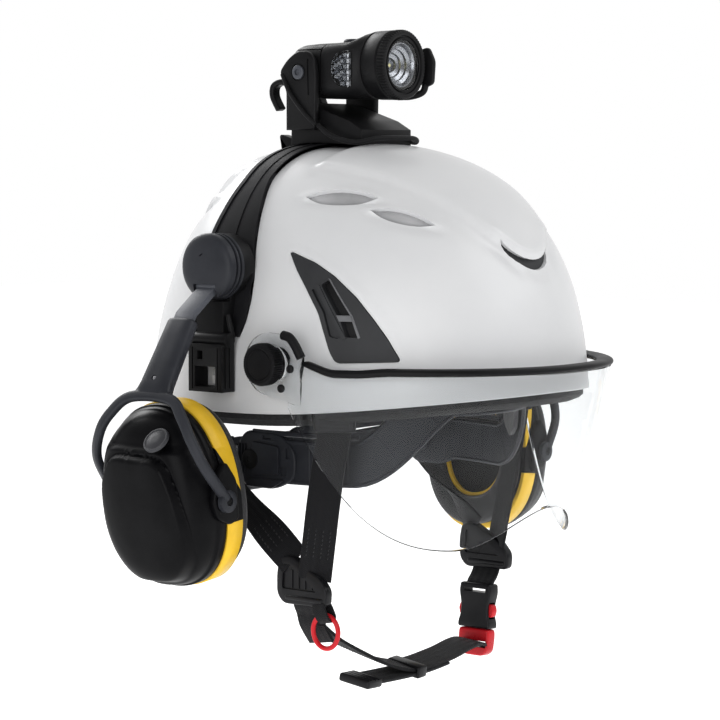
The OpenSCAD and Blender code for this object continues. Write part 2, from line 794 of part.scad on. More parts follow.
outer_shell();
impact_liner();
on_left() side_insert();  // side_insert_left
on_right() side_insert();  // side_insert_right
front_vent_insert();
ridge_vent_inserts();
crown_band();
on_left() visor_mount();  // visor_mount_left
on_right() visor_mount();  // visor_mount_right
visor_lens();
visor_brow_seal();
visor_rivets();
on_left() knob();  // knob_left
on_right() knob();  // knob_right
on_left() muff_adapter();  // muff_adapter_left
on_left() muff_hub();  // muff_hub_left
on_left() hub_pin();  // hub_pin_left
on_left() arm_slider();  // arm_slider_left
on_left() arm_fork();  // arm_fork_left
on_left() cup_shell();  // cup_shell_left
on_left() cup_trim();  // cup_trim_left
on_left() cup_cushion();  // cup_cushion_left
on_left() cup_foam();  // cup_foam_left
on_left() cup_plug();  // cup_plug_left
on_right() muff_adapter();  // muff_adapter_right
on_right() muff_hub();  // muff_hub_right
on_right() hub_pin();  // hub_pin_right
on_right() arm_slider();  // arm_slider_right
on_right() arm_fork();  // arm_fork_right
on_right() cup_shell();  // cup_shell_right
on_right() cup_trim();  // cup_trim_right
on_right() cup_cushion();  // cup_cushion_right
on_right() cup_foam();  // cup_foam_right
on_right() cup_plug();  // cup_plug_right
lamp_base();
lamp_pivots();
lamp_elastic();
lamp_body();
lamp_windows();
lamp_bezel();
lamp_lens();
lamp_button();
headband();
comfort_pads();
strap_anchors();
front_straps();
rear_straps();
strap_dividers();
red_ring();
buckle_socket();
buckle_button(-1);  // buckle_button_front
buckle_button(1);  // buckle_button_rear
buckle_tongue();
chin_strap();
nape_cradle();
nape_pad();
size_dial();
size_rack_left();
size_rack_right();
temple_pins();
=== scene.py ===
"""Looks of the arborist helmet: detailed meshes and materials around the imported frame.

Lengths are in millimetres until mesh() turns them into metres. +Z is up, the front faces -Y
and +X is the wearer's left. Pieces on the two sides are drawn on the left and mirrored.
"""

import json
import math
from contextlib import contextmanager

import bmesh
import bpy
import numpy as np
from mathutils import Matrix, Vector


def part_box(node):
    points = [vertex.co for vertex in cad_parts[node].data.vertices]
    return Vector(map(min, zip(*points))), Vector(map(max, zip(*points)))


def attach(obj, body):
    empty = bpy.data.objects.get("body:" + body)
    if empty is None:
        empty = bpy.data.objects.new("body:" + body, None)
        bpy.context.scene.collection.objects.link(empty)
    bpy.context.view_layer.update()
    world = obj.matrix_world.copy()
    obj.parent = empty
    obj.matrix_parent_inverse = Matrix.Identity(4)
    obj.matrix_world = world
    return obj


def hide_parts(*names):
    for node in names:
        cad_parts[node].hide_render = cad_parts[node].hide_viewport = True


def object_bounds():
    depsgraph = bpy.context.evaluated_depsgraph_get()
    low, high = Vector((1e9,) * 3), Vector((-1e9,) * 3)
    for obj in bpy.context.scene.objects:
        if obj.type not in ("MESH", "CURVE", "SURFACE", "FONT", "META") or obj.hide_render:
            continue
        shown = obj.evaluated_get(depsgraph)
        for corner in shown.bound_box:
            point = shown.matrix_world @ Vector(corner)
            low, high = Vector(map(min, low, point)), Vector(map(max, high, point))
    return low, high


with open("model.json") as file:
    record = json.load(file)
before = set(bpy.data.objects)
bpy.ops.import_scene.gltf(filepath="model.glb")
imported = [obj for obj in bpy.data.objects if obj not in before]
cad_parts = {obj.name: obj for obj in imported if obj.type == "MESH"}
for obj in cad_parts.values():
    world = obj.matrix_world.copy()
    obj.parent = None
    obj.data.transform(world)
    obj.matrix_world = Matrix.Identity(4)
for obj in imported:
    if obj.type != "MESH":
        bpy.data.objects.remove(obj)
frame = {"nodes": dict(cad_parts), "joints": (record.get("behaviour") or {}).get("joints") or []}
cad_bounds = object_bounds()

MM = 0.001
LEFT, RIGHT = 1, -1
SIDES = ((LEFT, "left"), (RIGHT, "right"))


# ---------------------------------------------------------------- frame readings
def node_box(name):
    """Lowest and highest corner of a CAD node, in millimetres."""
    low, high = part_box(name)
    return np.array(low) / MM, np.array(high) / MM


def joint_point(name):
    """The pivot of a joint, in millimetres."""
    joint = next(j for j in frame["joints"] if j["name"] == name)
    return np.array(joint["pos_m"]) / MM


# ---------------------------------------------------------------- small maths
def lerp(a, b, t):
    return a + (b - a) * t


def smooth(t):
    t = np.clip(t, 0.0, 1.0)
    return t * t * (3 - 2 * t)


def turns(count):
    """Evenly spaced angles once round."""
    return 2 * np.pi * np.arange(count) / count


def unit(v):
    v = np.asarray(v, float)
    return v / np.maximum(np.linalg.norm(v, axis=-1, keepdims=True), 1e-12)


def catmull(points, steps):
    """Smooth points through the given ones."""
    p = np.asarray(points, float)
    out = []
    for i in range(len(p) - 1):
        a, b, c, d = p[max(i - 1, 0)], p[i], p[i + 1], p[min(i + 2, len(p) - 1)]
        for k in range(steps):
            t = k / steps
            out.append(0.5 * (2 * b + (c - a) * t + (2 * a - 5 * b + 4 * c - d) * t ** 2
                              + (3 * b - a - 3 * c + d) * t ** 3))
    out.append(p[-1])
    return np.array(out)


def polygon_distance(px, py, outline):
    """Signed distance to a closed outline, negative inside."""
    o = np.asarray(outline, float)
    best = np.full(px.shape, 1e9)
    inside = np.zeros(px.shape, bool)
    for (ax, ay), (bx, by) in zip(o, np.roll(o, -1, axis=0)):
        ex, ey = bx - ax, by - ay
        t = np.clip(((px - ax) * ex + (py - ay) * ey) / (ex * ex + ey * ey), 0, 1)
        best = np.minimum(best, np.hypot(px - ax - t * ex, py - ay - t * ey))
        if ay != by:
            crosses = (ay > py) != (by > py)
            inside ^= crosses & (px < (bx - ax) * (py - ay) / (by - ay) + ax)
    return np.where(inside, -best, best)


def rounded_outline(points, radius, steps=6):
    """A closed outline with its corners rounded."""
    p = np.asarray(points, float)
    out = []
    for i in range(len(p)):
        a, b, c = p[i - 1], p[i], p[(i + 1) % len(p)]
        cut = min(radius, np.linalg.norm(a - b) / 2.1, np.linalg.norm(c - b) / 2.1)
        start, end = b + unit(a - b) * cut, b + unit(c - b) * cut
        for k in range(steps + 1):
            t = k / steps
            out.append((1 - t) ** 2 * start + 2 * t * (1 - t) * b + t ** 2 * end)
    return np.array(out)


def superellipse(width, height, power, count):
    """Points of an oval about the origin, counter-clockwise."""
    a = 2 * np.pi * (np.arange(count) + 0.5) / count
    c, s = np.cos(a), np.sin(a)
    r = ((np.abs(c) / (width / 2)) ** power + (np.abs(s) / (height / 2)) ** power) ** (-1 / power)
    return np.stack([r * c, r * s], -1)


# ---------------------------------------------------------------- mesh building
def mesh(name, points, faces, side=LEFT, uv=None, smooth_angle=40):
    """A mesh object from points in millimetres; side -1 mirrors it in X."""
    points = np.array(points, float).reshape(-1, 3) * MM
    faces = [list(f) for f in faces]
    if side < 0:
        points[:, 0] *= -1
        faces = [f[::-1] for f in faces]
    data = bpy.data.meshes.new(name)
    data.from_pydata(points.tolist(), [], faces)
    data.validate()
    if uv is not None:
        layer = data.uv_layers.new(name="strap")
        uv = np.asarray(uv, float)
        for loop in data.loops:
            layer.data[loop.index].uv = uv[loop.vertex_index]
    obj = linked(name, data)
    shade(obj, smooth_angle)
    return obj


def linked(name, data):
    """A new object in the scene."""
    obj = bpy.data.objects.new(name, data)
    bpy.context.scene.collection.objects.link(obj)
    return obj


@contextmanager
def edited(obj):
    """Opens an object's mesh for editing and writes it back."""
    bm = bmesh.new()
    bm.from_mesh(obj.data)
    yield bm
    bm.to_mesh(obj.data)
    bm.free()


def shade(obj, angle):
    """Smooth shading, with edges sharper than the angle kept crisp."""
    with edited(obj) as bm:
        for face in bm.faces:
            face.smooth = True
        for edge in bm.edges:
            if len(edge.link_faces) == 2:
                edge.smooth = edge.calc_face_angle(0) < math.radians(angle)


def outward(obj):
    """Turns every face of a closed mesh outward."""
    with edited(obj) as bm:
        bmesh.ops.recalc_face_normals(bm, faces=bm.faces)


def grid_faces(m, n, wrap_m=False, wrap_n=False):
    """Quads of an m by n grid of points."""
    faces = []
    for i in range(m if wrap_m else m - 1):
        for j in range(n if wrap_n else n - 1):
            a, b = i * n + j, i * n + (j + 1) % n
            c, d = ((i + 1) % m) * n + (j + 1) % n, ((i + 1) % m) * n + j
            faces.append((a, b, c, d))
    return faces


def loft(name, rings, side=LEFT, closed=False, smooth_angle=40):
    """A surface through closed rings of points; the ends are capped."""
    rings = np.asarray(rings, float)
    m, n = rings.shape[:2]
    faces = grid_faces(m, n, closed, True)
    if not closed:
        faces.append(tuple(range(n)))
        faces.append(tuple(range((m - 1) * n, m * n))[::-1])
    obj = mesh(name, rings, faces, side, smooth_angle=smooth_angle)
    outward(obj)
    return obj


def frames_along(path, across):
    """Side and normal directions along a path, kept near the given width direction."""
    tangent = unit(np.gradient(path, axis=0))
    across = np.broadcast_to(np.asarray(across, float), path.shape)
    wide = unit(across - tangent * np.sum(across * tangent, -1, keepdims=True))
    return wide, np.cross(tangent, wide)


def distances_along(path):
    """Length of a path up to each of its points."""
    return np.concatenate([[0], np.cumsum(np.linalg.norm(np.diff(path, axis=0), axis=1))])


def strap(name, path, across, width=20.0, thick=1.6, side=LEFT, crown=0.0):
    """Flat webbing with soft edges; its UV map runs in centimetres along and across."""
    path = np.asarray(path, float)
    wide, flat = frames_along(path, across)
    length = distances_along(path)
    edge = thick / 2
    section = [(-width / 2 + edge * 0.3, -edge), (-width / 6, -edge - crown),
               (width / 6, -edge - crown), (width / 2 - edge * 0.3, -edge), (width / 2, 0),
               (width / 2 - edge * 0.3, edge), (width / 6, edge + crown), (-width / 6, edge + crown),
               (-width / 2 + edge * 0.3, edge), (-width / 2, 0)]
    rings = np.array([[p + w * a + f * b for a, b in section] for p, w, f in zip(path, wide, flat)])
    uv = [(l / 10, a / 10) for l in length for a, b in section]
    m, n = rings.shape[:2]
    faces = grid_faces(m, n, False, True) + [tuple(range(n)), tuple(range((m - 1) * n, m * n))[::-1]]
    obj = mesh(name, rings, faces, side, uv, smooth_angle=60)
    outward(obj)
    return obj


def tube(name, path, radius, side=LEFT, closed=False, sides=14):
    """A round rod along a path; radius may change along it."""
    path = np.asarray(path, float)
    if closed:
        tangent = unit(np.roll(path, -1, axis=0) - np.roll(path, 1, axis=0))
    else:
        tangent = unit(np.gradient(path, axis=0))
    radius = np.broadcast_to(np.asarray(radius, float), (len(path),))
    normal = unit(np.cross(tangent[0], [0.3, 0.5, 0.81]))
    rings = []
    for p, t, r in zip(path, tangent, radius):
        normal = unit(normal - t * np.dot(normal, t))
        other = np.cross(t, normal)
        a = turns(sides)
        rings.append(p + r * (np.cos(a)[:, None] * normal + np.sin(a)[:, None] * other))
    return loft(name, rings, side, closed=closed)


def lathe(name, profile, origin, axis, count=96):
    """Turns a profile of (along, radius) pairs about an axis through the origin point."""
    axis = unit(axis)
    normal = unit(np.cross(axis, [0.2, 0.9, 0.4]))
    other = np.cross(axis, normal)
    a = turns(count)
    rings = [np.asarray(origin) + axis * h
             + r * (np.cos(a)[:, None] * normal + np.sin(a)[:, None] * other) for h, r in profile]
    return loft(name, rings)


def extrude(name, outline, depth, matrix, side=LEFT):
    """A flat outline given thickness along local +Z, then placed by a 4 by 4 matrix."""
    o = np.asarray(outline, float)
    n = len(o)
    low = np.column_stack([o, np.zeros(n), np.ones(n)])
    high = np.column_stack([o, np.full(n, depth), np.ones(n)])
    points = (np.concatenate([low, high]) @ np.asarray(matrix).T)[:, :3]
    faces = [tuple(range(n))[::-1], tuple(range(n, 2 * n))]
    faces += [(i, (i + 1) % n, n + (i + 1) % n, n + i) for i in range(n)]
    obj = mesh(name, points, faces, side)
    outward(obj)
    return obj


def placed(origin, x_dir, y_dir):
    """A 4 by 4 matrix with the given origin and first two directions."""
    x = unit(x_dir)
    z = unit(np.cross(x, y_dir))
    out = np.eye(4)
    out[:3, 0], out[:3, 1], out[:3, 2], out[:3, 3] = x, np.cross(z, x), z, origin
    return out


def side_plane(x):
    """A frame for an outline of Y and Z, given depth along +X from x."""
    return placed((x, 0, 0), (0, 1, 0), (0, 0, 1))


def front_plane(y):
    """A frame for an outline of X and Z, given depth towards -Y from y."""
    return placed((0, y, 0), (1, 0, 0), (0, 0, 1))


def block(name, low, high, side=LEFT):
    """A box between two corners."""
    lo, hi = np.array(low, float), np.array(high, float)
    outline = [(lo[0], lo[1]), (hi[0], lo[1]), (hi[0], hi[1]), (lo[0], hi[1])]
    return extrude(name, outline, hi[2] - lo[2], placed((0, 0, lo[2]), (1, 0, 0), (0, 1, 0)), side)


def bevel(obj, width, segments=3, angle=30):
    """Rounds the sharp edges by a width in millimetres."""
    mod = obj.modifiers.new("soft_edges", "BEVEL")
    mod.width = width * MM
    mod.segments = segments
    mod.limit_method = "ANGLE"
    mod.angle_limit = math.radians(angle)
    mod.harden_normals = False
    apply_modifiers(obj)
    shade(obj, 40)
    return obj


def apply_modifiers(obj):
    """Bakes the modifiers into the mesh."""
    graph = bpy.context.evaluated_depsgraph_get()
    data = bpy.data.meshes.new_from_object(obj.evaluated_get(graph))
    old = obj.data
    obj.modifiers.clear()
    obj.data = data
    bpy.data.meshes.remove(old)


def carve(obj, *cutters, operation="DIFFERENCE", smooth_angle=40):
    """Cuts the cutters out of obj, or joins them in, and removes them."""
    for cutter in cutters:
        mod = obj.modifiers.new("cut", "BOOLEAN")
        mod.operation = operation
        mod.solver = "MANIFOLD"
        mod.object = cutter
    bpy.context.view_layer.update()
    apply_modifiers(obj)
    for cutter in cutters:
        data = cutter.data
        bpy.data.objects.remove(cutter)
        bpy.data.meshes.remove(data)
    shade(obj, smooth_angle)
    return obj


def join(name, objs):
    """Merges several objects into one mesh."""
    bm = bmesh.new()
    for obj in objs:
        bm.from_mesh(obj.data)
    data = bpy.data.meshes.new(name)
    bm.to_mesh(data)
    bm.free()
    uv = any(o.data.uv_layers for o in objs)
    out = linked(name, data)
    for obj in objs:
        old = obj.data
        bpy.data.objects.remove(obj)
        bpy.data.meshes.remove(old)
    if uv and data.uv_layers:
        data.uv_layers.active_index = 0
    return out


def from_cad(node, name, width=0.5, segments=2, angle=30):
    """A copy of a CAD node with merged faces and rounded edges."""
    obj = linked(name, frame["nodes"][node].data.copy())
    with edited(obj) as bm:
        bmesh.ops.remove_doubles(bm, verts=bm.verts, dist=0.01 * MM)
        bmesh.ops.dissolve_limit(bm, angle_limit=math.radians(0.6), verts=bm.verts, edges=bm.edges)
    obj.data.materials.clear()
    if width:
        bevel(obj, width, segments, angle)
    else:
        shade(obj, angle)
    return obj


def once(side, node):
    """A CAD node that a left and a right piece share, said on the left only."""
    return [node] if side == LEFT else []


def piece(obj, body, material, slot, *nodes):
    """Gives a finished mesh its material, its body and the CAD nodes that it stands for."""
    obj.data.materials.clear()
    obj.data.materials.append(material)
    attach(obj, body)
    if nodes:
        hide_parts(*nodes)
    return obj


# ---------------------------------------------------------------- materials
GLOSS_SPREAD, WEAR = 0.06, 0.35
CLEAR_IOR = 1.24


class Shader:
    """A node tree being built around one Principled shader."""

    def __init__(self, name, color, roughness, **sockets):
        self.material = bpy.data.materials.new(name)
        self.material.use_nodes = True
        self.tree = self.material.node_tree
        self.principled = self.tree.nodes["Principled BSDF"]
        self.set(**{"Base Color": (*color, 1.0), "Roughness": roughness})
        self.set(**sockets)
        self.coords = self.node("ShaderNodeTexCoord").outputs["Object"]

    def set(self, **sockets):
        for key, value in sockets.items():
            self.principled.inputs[key.replace("_", " ")].default_value = value

    def node(self, kind, **values):
        node = self.tree.nodes.new(kind)
        for key, value in values.items():
            if key in node.inputs.keys():
                node.inputs[key].default_value = value
            else:
                setattr(node, key, value)
        return node

    def link(self, source, target):
        self.tree.links.new(source, target)

    def noise(self, scale, detail=4.0, roughness=0.55):
        node = self.node("ShaderNodeTexNoise", Scale=scale, Detail=detail, Roughness=roughness)
        self.link(self.coords, node.inputs["Vector"])
        return node.outputs["Fac"]

    def voronoi(self, scale, feature="F1"):
        node = self.node("ShaderNodeTexVoronoi", feature=feature, Scale=scale)
        self.link(self.coords, node.inputs["Vector"])
        return node.outputs["Distance"]

    def math(self, operation, a, b=None):
        node = self.node("ShaderNodeMath", operation=operation)
        for slot_index, value in enumerate((a, b)):
            if value is None:
                continue
            if isinstance(value, (int, float)):
                node.inputs[slot_index].default_value = value
            else:
                self.link(value, node.inputs[slot_index])
        return node.outputs[0]

    def ramp(self, source, low, high, from_min=0.3, from_max=0.7):
        node = self.node("ShaderNodeMapRange", **{"From Min": from_min, "From Max": from_max,
                                                  "To Min": low, "To Max": high})
        self.link(source, node.inputs["Value"])
        return node.outputs["Result"]

    def tint(self, source, first, second):
        """Base colour that varies between two colours."""
        node = self.node("ShaderNodeMix", data_type="RGBA")
        node.inputs["A"].default_value = (*first, 1.0)
        node.inputs["B"].default_value = (*second, 1.0)
        self.link(source, node.inputs["Factor"])
        self.link(node.outputs["Result"], self.principled.inputs["Base Color"])

    def rough(self, source):
        self.link(source, self.principled.inputs["Roughness"])

    def bump(self, height, strength, distance, previous=None):
        node = self.node("ShaderNodeBump", Strength=strength, Distance=distance)
        self.link(height, node.inputs["Height"])
        if previous is not None:
            self.link(previous, node.inputs["Normal"])
        self.link(node.outputs["Normal"], self.principled.inputs["Normal"])
        return node.outputs["Normal"]


def moulded(name, color, roughness, grain=2600, depth=0.00004, specular=0.34):
    """Moulded plastic: fine spark texture, uneven gloss and faint handling marks."""
    s = Shader(name, color, roughness, **{"Specular IOR Level": specular})
    broad = s.noise(38, 5)
    marks = s.noise(210, 7, 0.7)
    s.rough(s.math("ADD", s.ramp(broad, roughness - GLOSS_SPREAD, roughness + GLOSS_SPREAD),
                   s.math("MULTIPLY", s.ramp(marks, 0, 1, 0.56, 0.74), GLOSS_SPREAD * WEAR * 2)))
    darker = tuple(c * 0.86 for c in color)
    lighter = tuple(min(c * 1.12 + 0.004, 1) for c in color)
    s.tint(s.ramp(broad, 0, 1, 0.35, 0.68), darker, lighter)
    first = s.bump(s.noise(grain, 3, 0.6), 0.5, depth)
    s.bump(s.noise(95, 3), 0.12, 0.0002, first)
    return s.material


def shell_plastic():
    """White gloss ABS: a slight orange peel, a clear skin and faint scuffs."""
    color = (0.68, 0.68, 0.685)
    s = Shader("shell_plastic", color, 0.34, **{"Specular IOR Level": 0.4, "Coat Weight": 0.15,
                                                "Coat Roughness": 0.2})
    broad = s.noise(14, 4)
    scuff = s.noise(120, 9, 0.75)
    s.rough(s.math("ADD", s.ramp(broad, 0.31, 0.39), s.ramp(scuff, 0, 0.08, 0.6, 0.8)))
    s.tint(s.ramp(broad, 0, 1, 0.3, 0.7), (0.65, 0.655, 0.665), (0.69, 0.693, 0.70))
    first = s.bump(s.noise(420, 2), 0.10, 0.0001)
    s.bump(s.noise(26, 2), 0.05, 0.0006, first)
    return s.material


def clear_plastic(name, color=(0.97, 0.98, 0.985), roughness=0.015):
    """Clear polycarbonate with almost invisible flow lines."""
    s = Shader(name, color, roughness, **{"IOR": CLEAR_IOR, "Transmission Weight": 1.0})
    s.bump(s.noise(22, 2), 0.02, 0.0004)
    s.rough(s.ramp(s.noise(300, 8, 0.75), roughness, roughness + 0.03, 0.62, 0.85))
    return s.material


def webbing(name, color):
    """Woven polyester webbing: a herringbone of two twills."""
    s = Shader(name, color, 0.66, **{"Sheen Weight": 0.08, "Sheen Roughness": 0.4,
                                     "Specular IOR Level": 0.2})
    uv = s.node("ShaderNodeSeparateXYZ")
    s.link(s.node("ShaderNodeTexCoord").outputs["UV"], uv.inputs["Vector"])
    along, across = uv.outputs["X"], uv.outputs["Y"]
    fold = s.math("PINGPONG", across, 0.25)
    twill = s.math("SINE", s.math("MULTIPLY", s.math("ADD", along, s.math("MULTIPLY", fold, 1.1)),
                                  62.0))
    yarn = s.math("SINE", s.math("MULTIPLY", across, 78.0))
    weave = s.math("ADD", s.math("MULTIPLY", twill, 0.6), s.math("MULTIPLY", yarn, 0.4))
    fuzz = s.noise(1700, 4, 0.7)
    height = s.math("ADD", weave, s.math("MULTIPLY", fuzz, 0.5))
    s.bump(height, 0.75, 0.00022)
    # Painted shade and highlight: the colour is darker in the hollows of the weave and lighter on the
    # raised yarns, following the bump height.
    dark = tuple(c * 0.55 for c in color)
    light = tuple(min(c * 1.7 + 0.006, 1) for c in color)
    s.tint(s.ramp(height, 0, 1, -0.7, 1.2), dark, light)
    s.rough(s.ramp(fuzz, 0.5, 0.75))
    return s.material


def vinyl(name, color):
    """Soft vinyl skin with a pebbled grain."""
    s = Shader(name, color, 0.5, **{"Sheen Weight": 0.08})
    pebble = s.voronoi(900)
    first = s.bump(pebble, 0.5, 0.00025)
    s.bump(s.noise(60, 4), 0.35, 0.0008, first)
    s.rough(s.ramp(s.noise(45, 4), 0.42, 0.58))
    # Painted shade: the colour is darker in the pits of the pebbled grain, following the bump height.
    s.tint(s.ramp(pebble, 0, 1, 0.1, 0.7), tuple(c * 0.75 for c in color),
           tuple(c * 1.25 for c in color))
    return s.material


def foam(name, color, cell=850, depth=0.0006):
    """Open-cell foam or fleece."""
    s = Shader(name, color, 0.85, **{"Sheen Weight": 0.3})
    cells = s.voronoi(cell)
    s.bump(s.math("ADD", cells, s.math("MULTIPLY", s.noise(2200, 4), 0.4)), 0.8, depth)
    # Painted shade: the colour is darker in the hollows of the cells, following the bump height.
    s.tint(s.ramp(cells, 0, 1, 0.05, 0.65), tuple(c * 0.6 for c in color),
           tuple(min(c * 1.15, 1) for c in color))
    return s.material


def beads(name, color):
    """Expanded foam with pressed beads."""
    s = Shader(name, color, 0.72)
    cells = s.voronoi(260, "DISTANCE_TO_EDGE")
    s.bump(s.math("MINIMUM", cells, 0.12), 0.6, 0.0008)
    # Painted shade: the colour is darker in the grooves between the beads, following the bump height.
    s.tint(s.ramp(cells, 0, 1, 0.0, 0.15), tuple(c * 0.5 for c in color), color)
    return s.material


def metal(name, color, roughness=0.28):
    """Drawn steel or bright foil with fine lines."""
    s = Shader(name, color, roughness, **{"Metallic": 1.0})
    lines = s.noise(900, 6, 0.7)
    s.rough(s.ramp(lines, roughness * 0.7, roughness * 1.4))
    s.bump(lines, 0.15, 0.00005)
    return s.material


def glow_plate(name):
    """Pale phosphor of the lamp's chip."""
    s = Shader(name, (0.9, 0.85, 0.45), 0.4)
    s.tint(s.ramp(s.noise(900, 3), 0, 1), (0.85, 0.78, 0.35), (0.95, 0.9, 0.55))
    return s.material


WHITE = shell_plastic()
BLACK = moulded("black_plastic", (0.010, 0.010, 0.011), 0.42, specular=0.2)
INSERT = moulded("insert_plastic", (0.036, 0.037, 0.040), 0.5, grain=1500, depth=0.00007)
GRAPHITE = moulded("graphite_plastic", (0.030, 0.032, 0.039), 0.42, grain=2200, specular=0.26)
SLIDER = moulded("slider_plastic", (0.085, 0.09, 0.105), 0.36)
BAND = moulded("band_rubber", (0.013, 0.013, 0.015), 0.58, grain=1300, depth=0.00009, specular=0.16)
SEAL = moulded("seal_rubber", (0.005, 0.005, 0.006), 0.42, grain=900, specular=0.2)
CUP_BLACK = moulded("cup_plastic", (0.004, 0.004, 0.005), 0.36, grain=3000, depth=0.00003,
                    specular=0.12)
PLUG = moulded("plug_plastic", (0.055, 0.056, 0.062), 0.45)
YELLOW = moulded("yellow_plastic", (0.80, 0.52, 0.035), 0.38, grain=1800)
RED = moulded("red_plastic", (0.55, 0.012, 0.022), 0.28, grain=2400)
BUCKLE_BLACK = moulded("buckle_plastic", (0.012, 0.012, 0.014), 0.32, grain=2400, specular=0.25)
VENT = moulded("vent_grey", (0.42, 0.42, 0.43), 0.5)
LAMP = moulded("lamp_plastic", (0.010, 0.010, 0.011), 0.42, grain=1700, depth=0.00005, specular=0.2)
CLEAR = clear_plastic("visor_polycarbonate")
GLASS = clear_plastic("lamp_lens_clear", (0.98, 0.985, 0.99), 0.01)
WEB = webbing("black_webbing", (0.010, 0.010, 0.012))
ELASTIC = webbing("black_elastic", (0.010, 0.010, 0.011))
VINYL = vinyl("cushion_vinyl", (0.022, 0.022, 0.024))
FOAM_DARK = foam("dark_foam", (0.022, 0.022, 0.025), 1100, 0.0004)
FLEECE = foam("pad_fleece", (0.030, 0.030, 0.033), 1500, 0.0004)
LINER = beads("liner_foam", (0.020, 0.020, 0.022))
STEEL = metal("pin_steel", (0.42, 0.42, 0.44))
RIB = moulded("rib_grey", (0.16, 0.162, 0.17), 0.45)
DISH = metal("lamp_dish", (0.34, 0.35, 0.37), 0.22)
CHIP = glow_plate("lamp_chip")
KNOB = moulded("knob_plastic", (0.005, 0.005, 0.006), 0.5, grain=700, depth=0.00025, specular=0.18)
PALE = moulded("pale_plastic", (0.50, 0.50, 0.50), 0.45)
THREAD = foam("stitch_thread", (0.016, 0.016, 0.018), 2400, 0.0002)


# ---------------------------------------------------------------- the shell's surface
SHELL_LOW, SHELL_HIGH = node_box("outer_shell")
CENTRE_Y = 20.0
BASE_Z = -14.0
FRONT = CENTRE_Y - SHELL_LOW[1] + 0.4
BACK = SHELL_HIGH[1] - CENTRE_Y + 0.2
HALF_W = SHELL_HIGH[0] + 0.1
TOP = SHELL_HIGH[2]
PLAN_POWER = 2.2
POWER_FRONT, POWER_BACK, POWER_SIDE = 2.65, 1.75, 2.75
BROW_RISE, NAPE_DROP = 13.0, 6.0
SHELL_T = 2.6
LINER_T = 17.0


def shell_power(u):
    w = (np.cos(u) + 1) / 2
    n = POWER_FRONT * w + POWER_BACK * (1 - w)
    return n + (POWER_SIDE - (POWER_FRONT + POWER_BACK) / 2) * np.sin(u) ** 2


def plan_radius(u, offset=0.0):
    c, s = np.cos(u), np.sin(u)
    reach = np.where(c > 0, FRONT, BACK) + offset
    side_reach = HALF_W + offset
    return (np.abs(c / reach) ** PLAN_POWER + np.abs(s / side_reach) ** PLAN_POWER) ** (-1 / PLAN_POWER)


def rim_height(u):
    c = np.cos(u)
    return np.where(c > 0, BROW_RISE * np.abs(c) ** 3, -NAPE_DROP * c ** 2)


def polar(u, radius, z):
    return np.stack(np.broadcast_arrays(radius * np.sin(u), CENTRE_Y - radius * np.cos(u), z), -1)


def angle_at(u, z, offset=0.0):
    t = np.clip((z - BASE_Z) / (TOP + offset - BASE_Z), 0, 1)
    return np.arcsin(t ** (shell_power(u) / 2))


def dome(u, angle, offset=0.0):
    """Point on the shell at heading u (0 = front) and angle up from the base, offset outward."""
    e = 2 / shell_power(u)
    return polar(u, plan_radius(u, offset) * np.abs(np.cos(angle)) ** e,
                 BASE_Z + (TOP + offset - BASE_Z) * np.abs(np.sin(angle)) ** e)


def dome_normal(u, angle, offset=0.0):
    h = 1e-3
    du = dome(u + h, angle, offset) - dome(u - h, angle, offset)
    da = dome(u, angle + h, offset) - dome(u, angle - h, offset)
    return unit(np.cross(du, da))


def drop_to_dome(x, y, offset=0.0):
    """Height of the dome over a point in plan."""
    x, y = np.broadcast_arrays(np.asarray(x, float), np.asarray(y, float))
    u = np.arctan2(x, CENTRE_Y - y)
    n = shell_power(u)
    k = np.clip(np.hypot(x, y - CENTRE_Y) / plan_radius(u, offset), 0, 1)
    return BASE_Z + (TOP + offset - BASE_Z) * (1 - k ** n) ** (1 / n)


# ---------------------------------------------------------------- openings in the shell
SIDE_OUTLINE = rounded_outline([(-28, 94.5), (-46, 88), (-59, 80.5), (-73, 69), (-84, 56.5), (-92, 46),
                                (-100, 32.5), (-65, 31), (-61, 37.5), (-58, 45.5), (-52.5, 59.5),
                                (-43, 73.5), (-35, 84)], 3)
VENTS = [((72, -46, 125), 16, 43, 9.5), ((62, -83, 114), 30, 38, 7.5), ((62, 66, 112), -24, 40, 9)]
GRILLE_OPENINGS = [rounded_outline([(-52, 75.5), (-56, 78.5), (-71.5, 58.5), (-64, 58)], 1.0, 4),
                   rounded_outline([(-66, 55), (-73, 55), (-77, 46), (-70, 46)], 1.0, 4)]
GRILLE_HOLLOW = rounded_outline([(-46.5, 73), (-49, 73), (-68, 47), (-66, 45), (-60.5, 46),
                                 (-55.5, 60)], 1.5, 4)
GRILLE_SPINE = rounded_outline([(-49, 75), (-51.2, 75.6), (-70.5, 45.5), (-68.5, 44.6)], 0.6, 4)
GRILLE_RIBS = [[(-56, 79.4), (-57.2, 78.8), (-72.8, 58.2), (-78.2, 46), (-77, 45.4), (-71.6, 58.4)],
               [(-63.6, 58.4), (-72.4, 58.4), (-73.6, 55), (-65.6, 55)]]
AIM_Z = 20.0
CRESCENT_LOW, CRESCENT_HIGH = (107.0, 24.0), (117.0, 28.0)


def crescent_outline(grow=0.0, steps=18):
    """The front vent in the XZ plane, between a lower and an upper arc."""
    (zl, rl), (zh, rh) = CRESCENT_LOW, CRESCENT_HIGH
    rl, rh = rl + grow, rh - grow
    z = (rl ** 2 - rh ** 2 + zh ** 2 - zl ** 2) / (2 * (zh - zl))
    half = math.sqrt(rl ** 2 - (z - zl) ** 2)
    low = math.atan2(-half, zl - z)
    high = math.atan2(-half, zh - z)
    lower = [(rl * math.sin(a), zl - rl * math.cos(a)) for a in np.linspace(low, -low, steps)]
    upper = [(rh * math.sin(a), zh - rh * math.cos(a)) for a in np.linspace(-high, high, steps)]
    return np.array(lower + upper[1:-1])


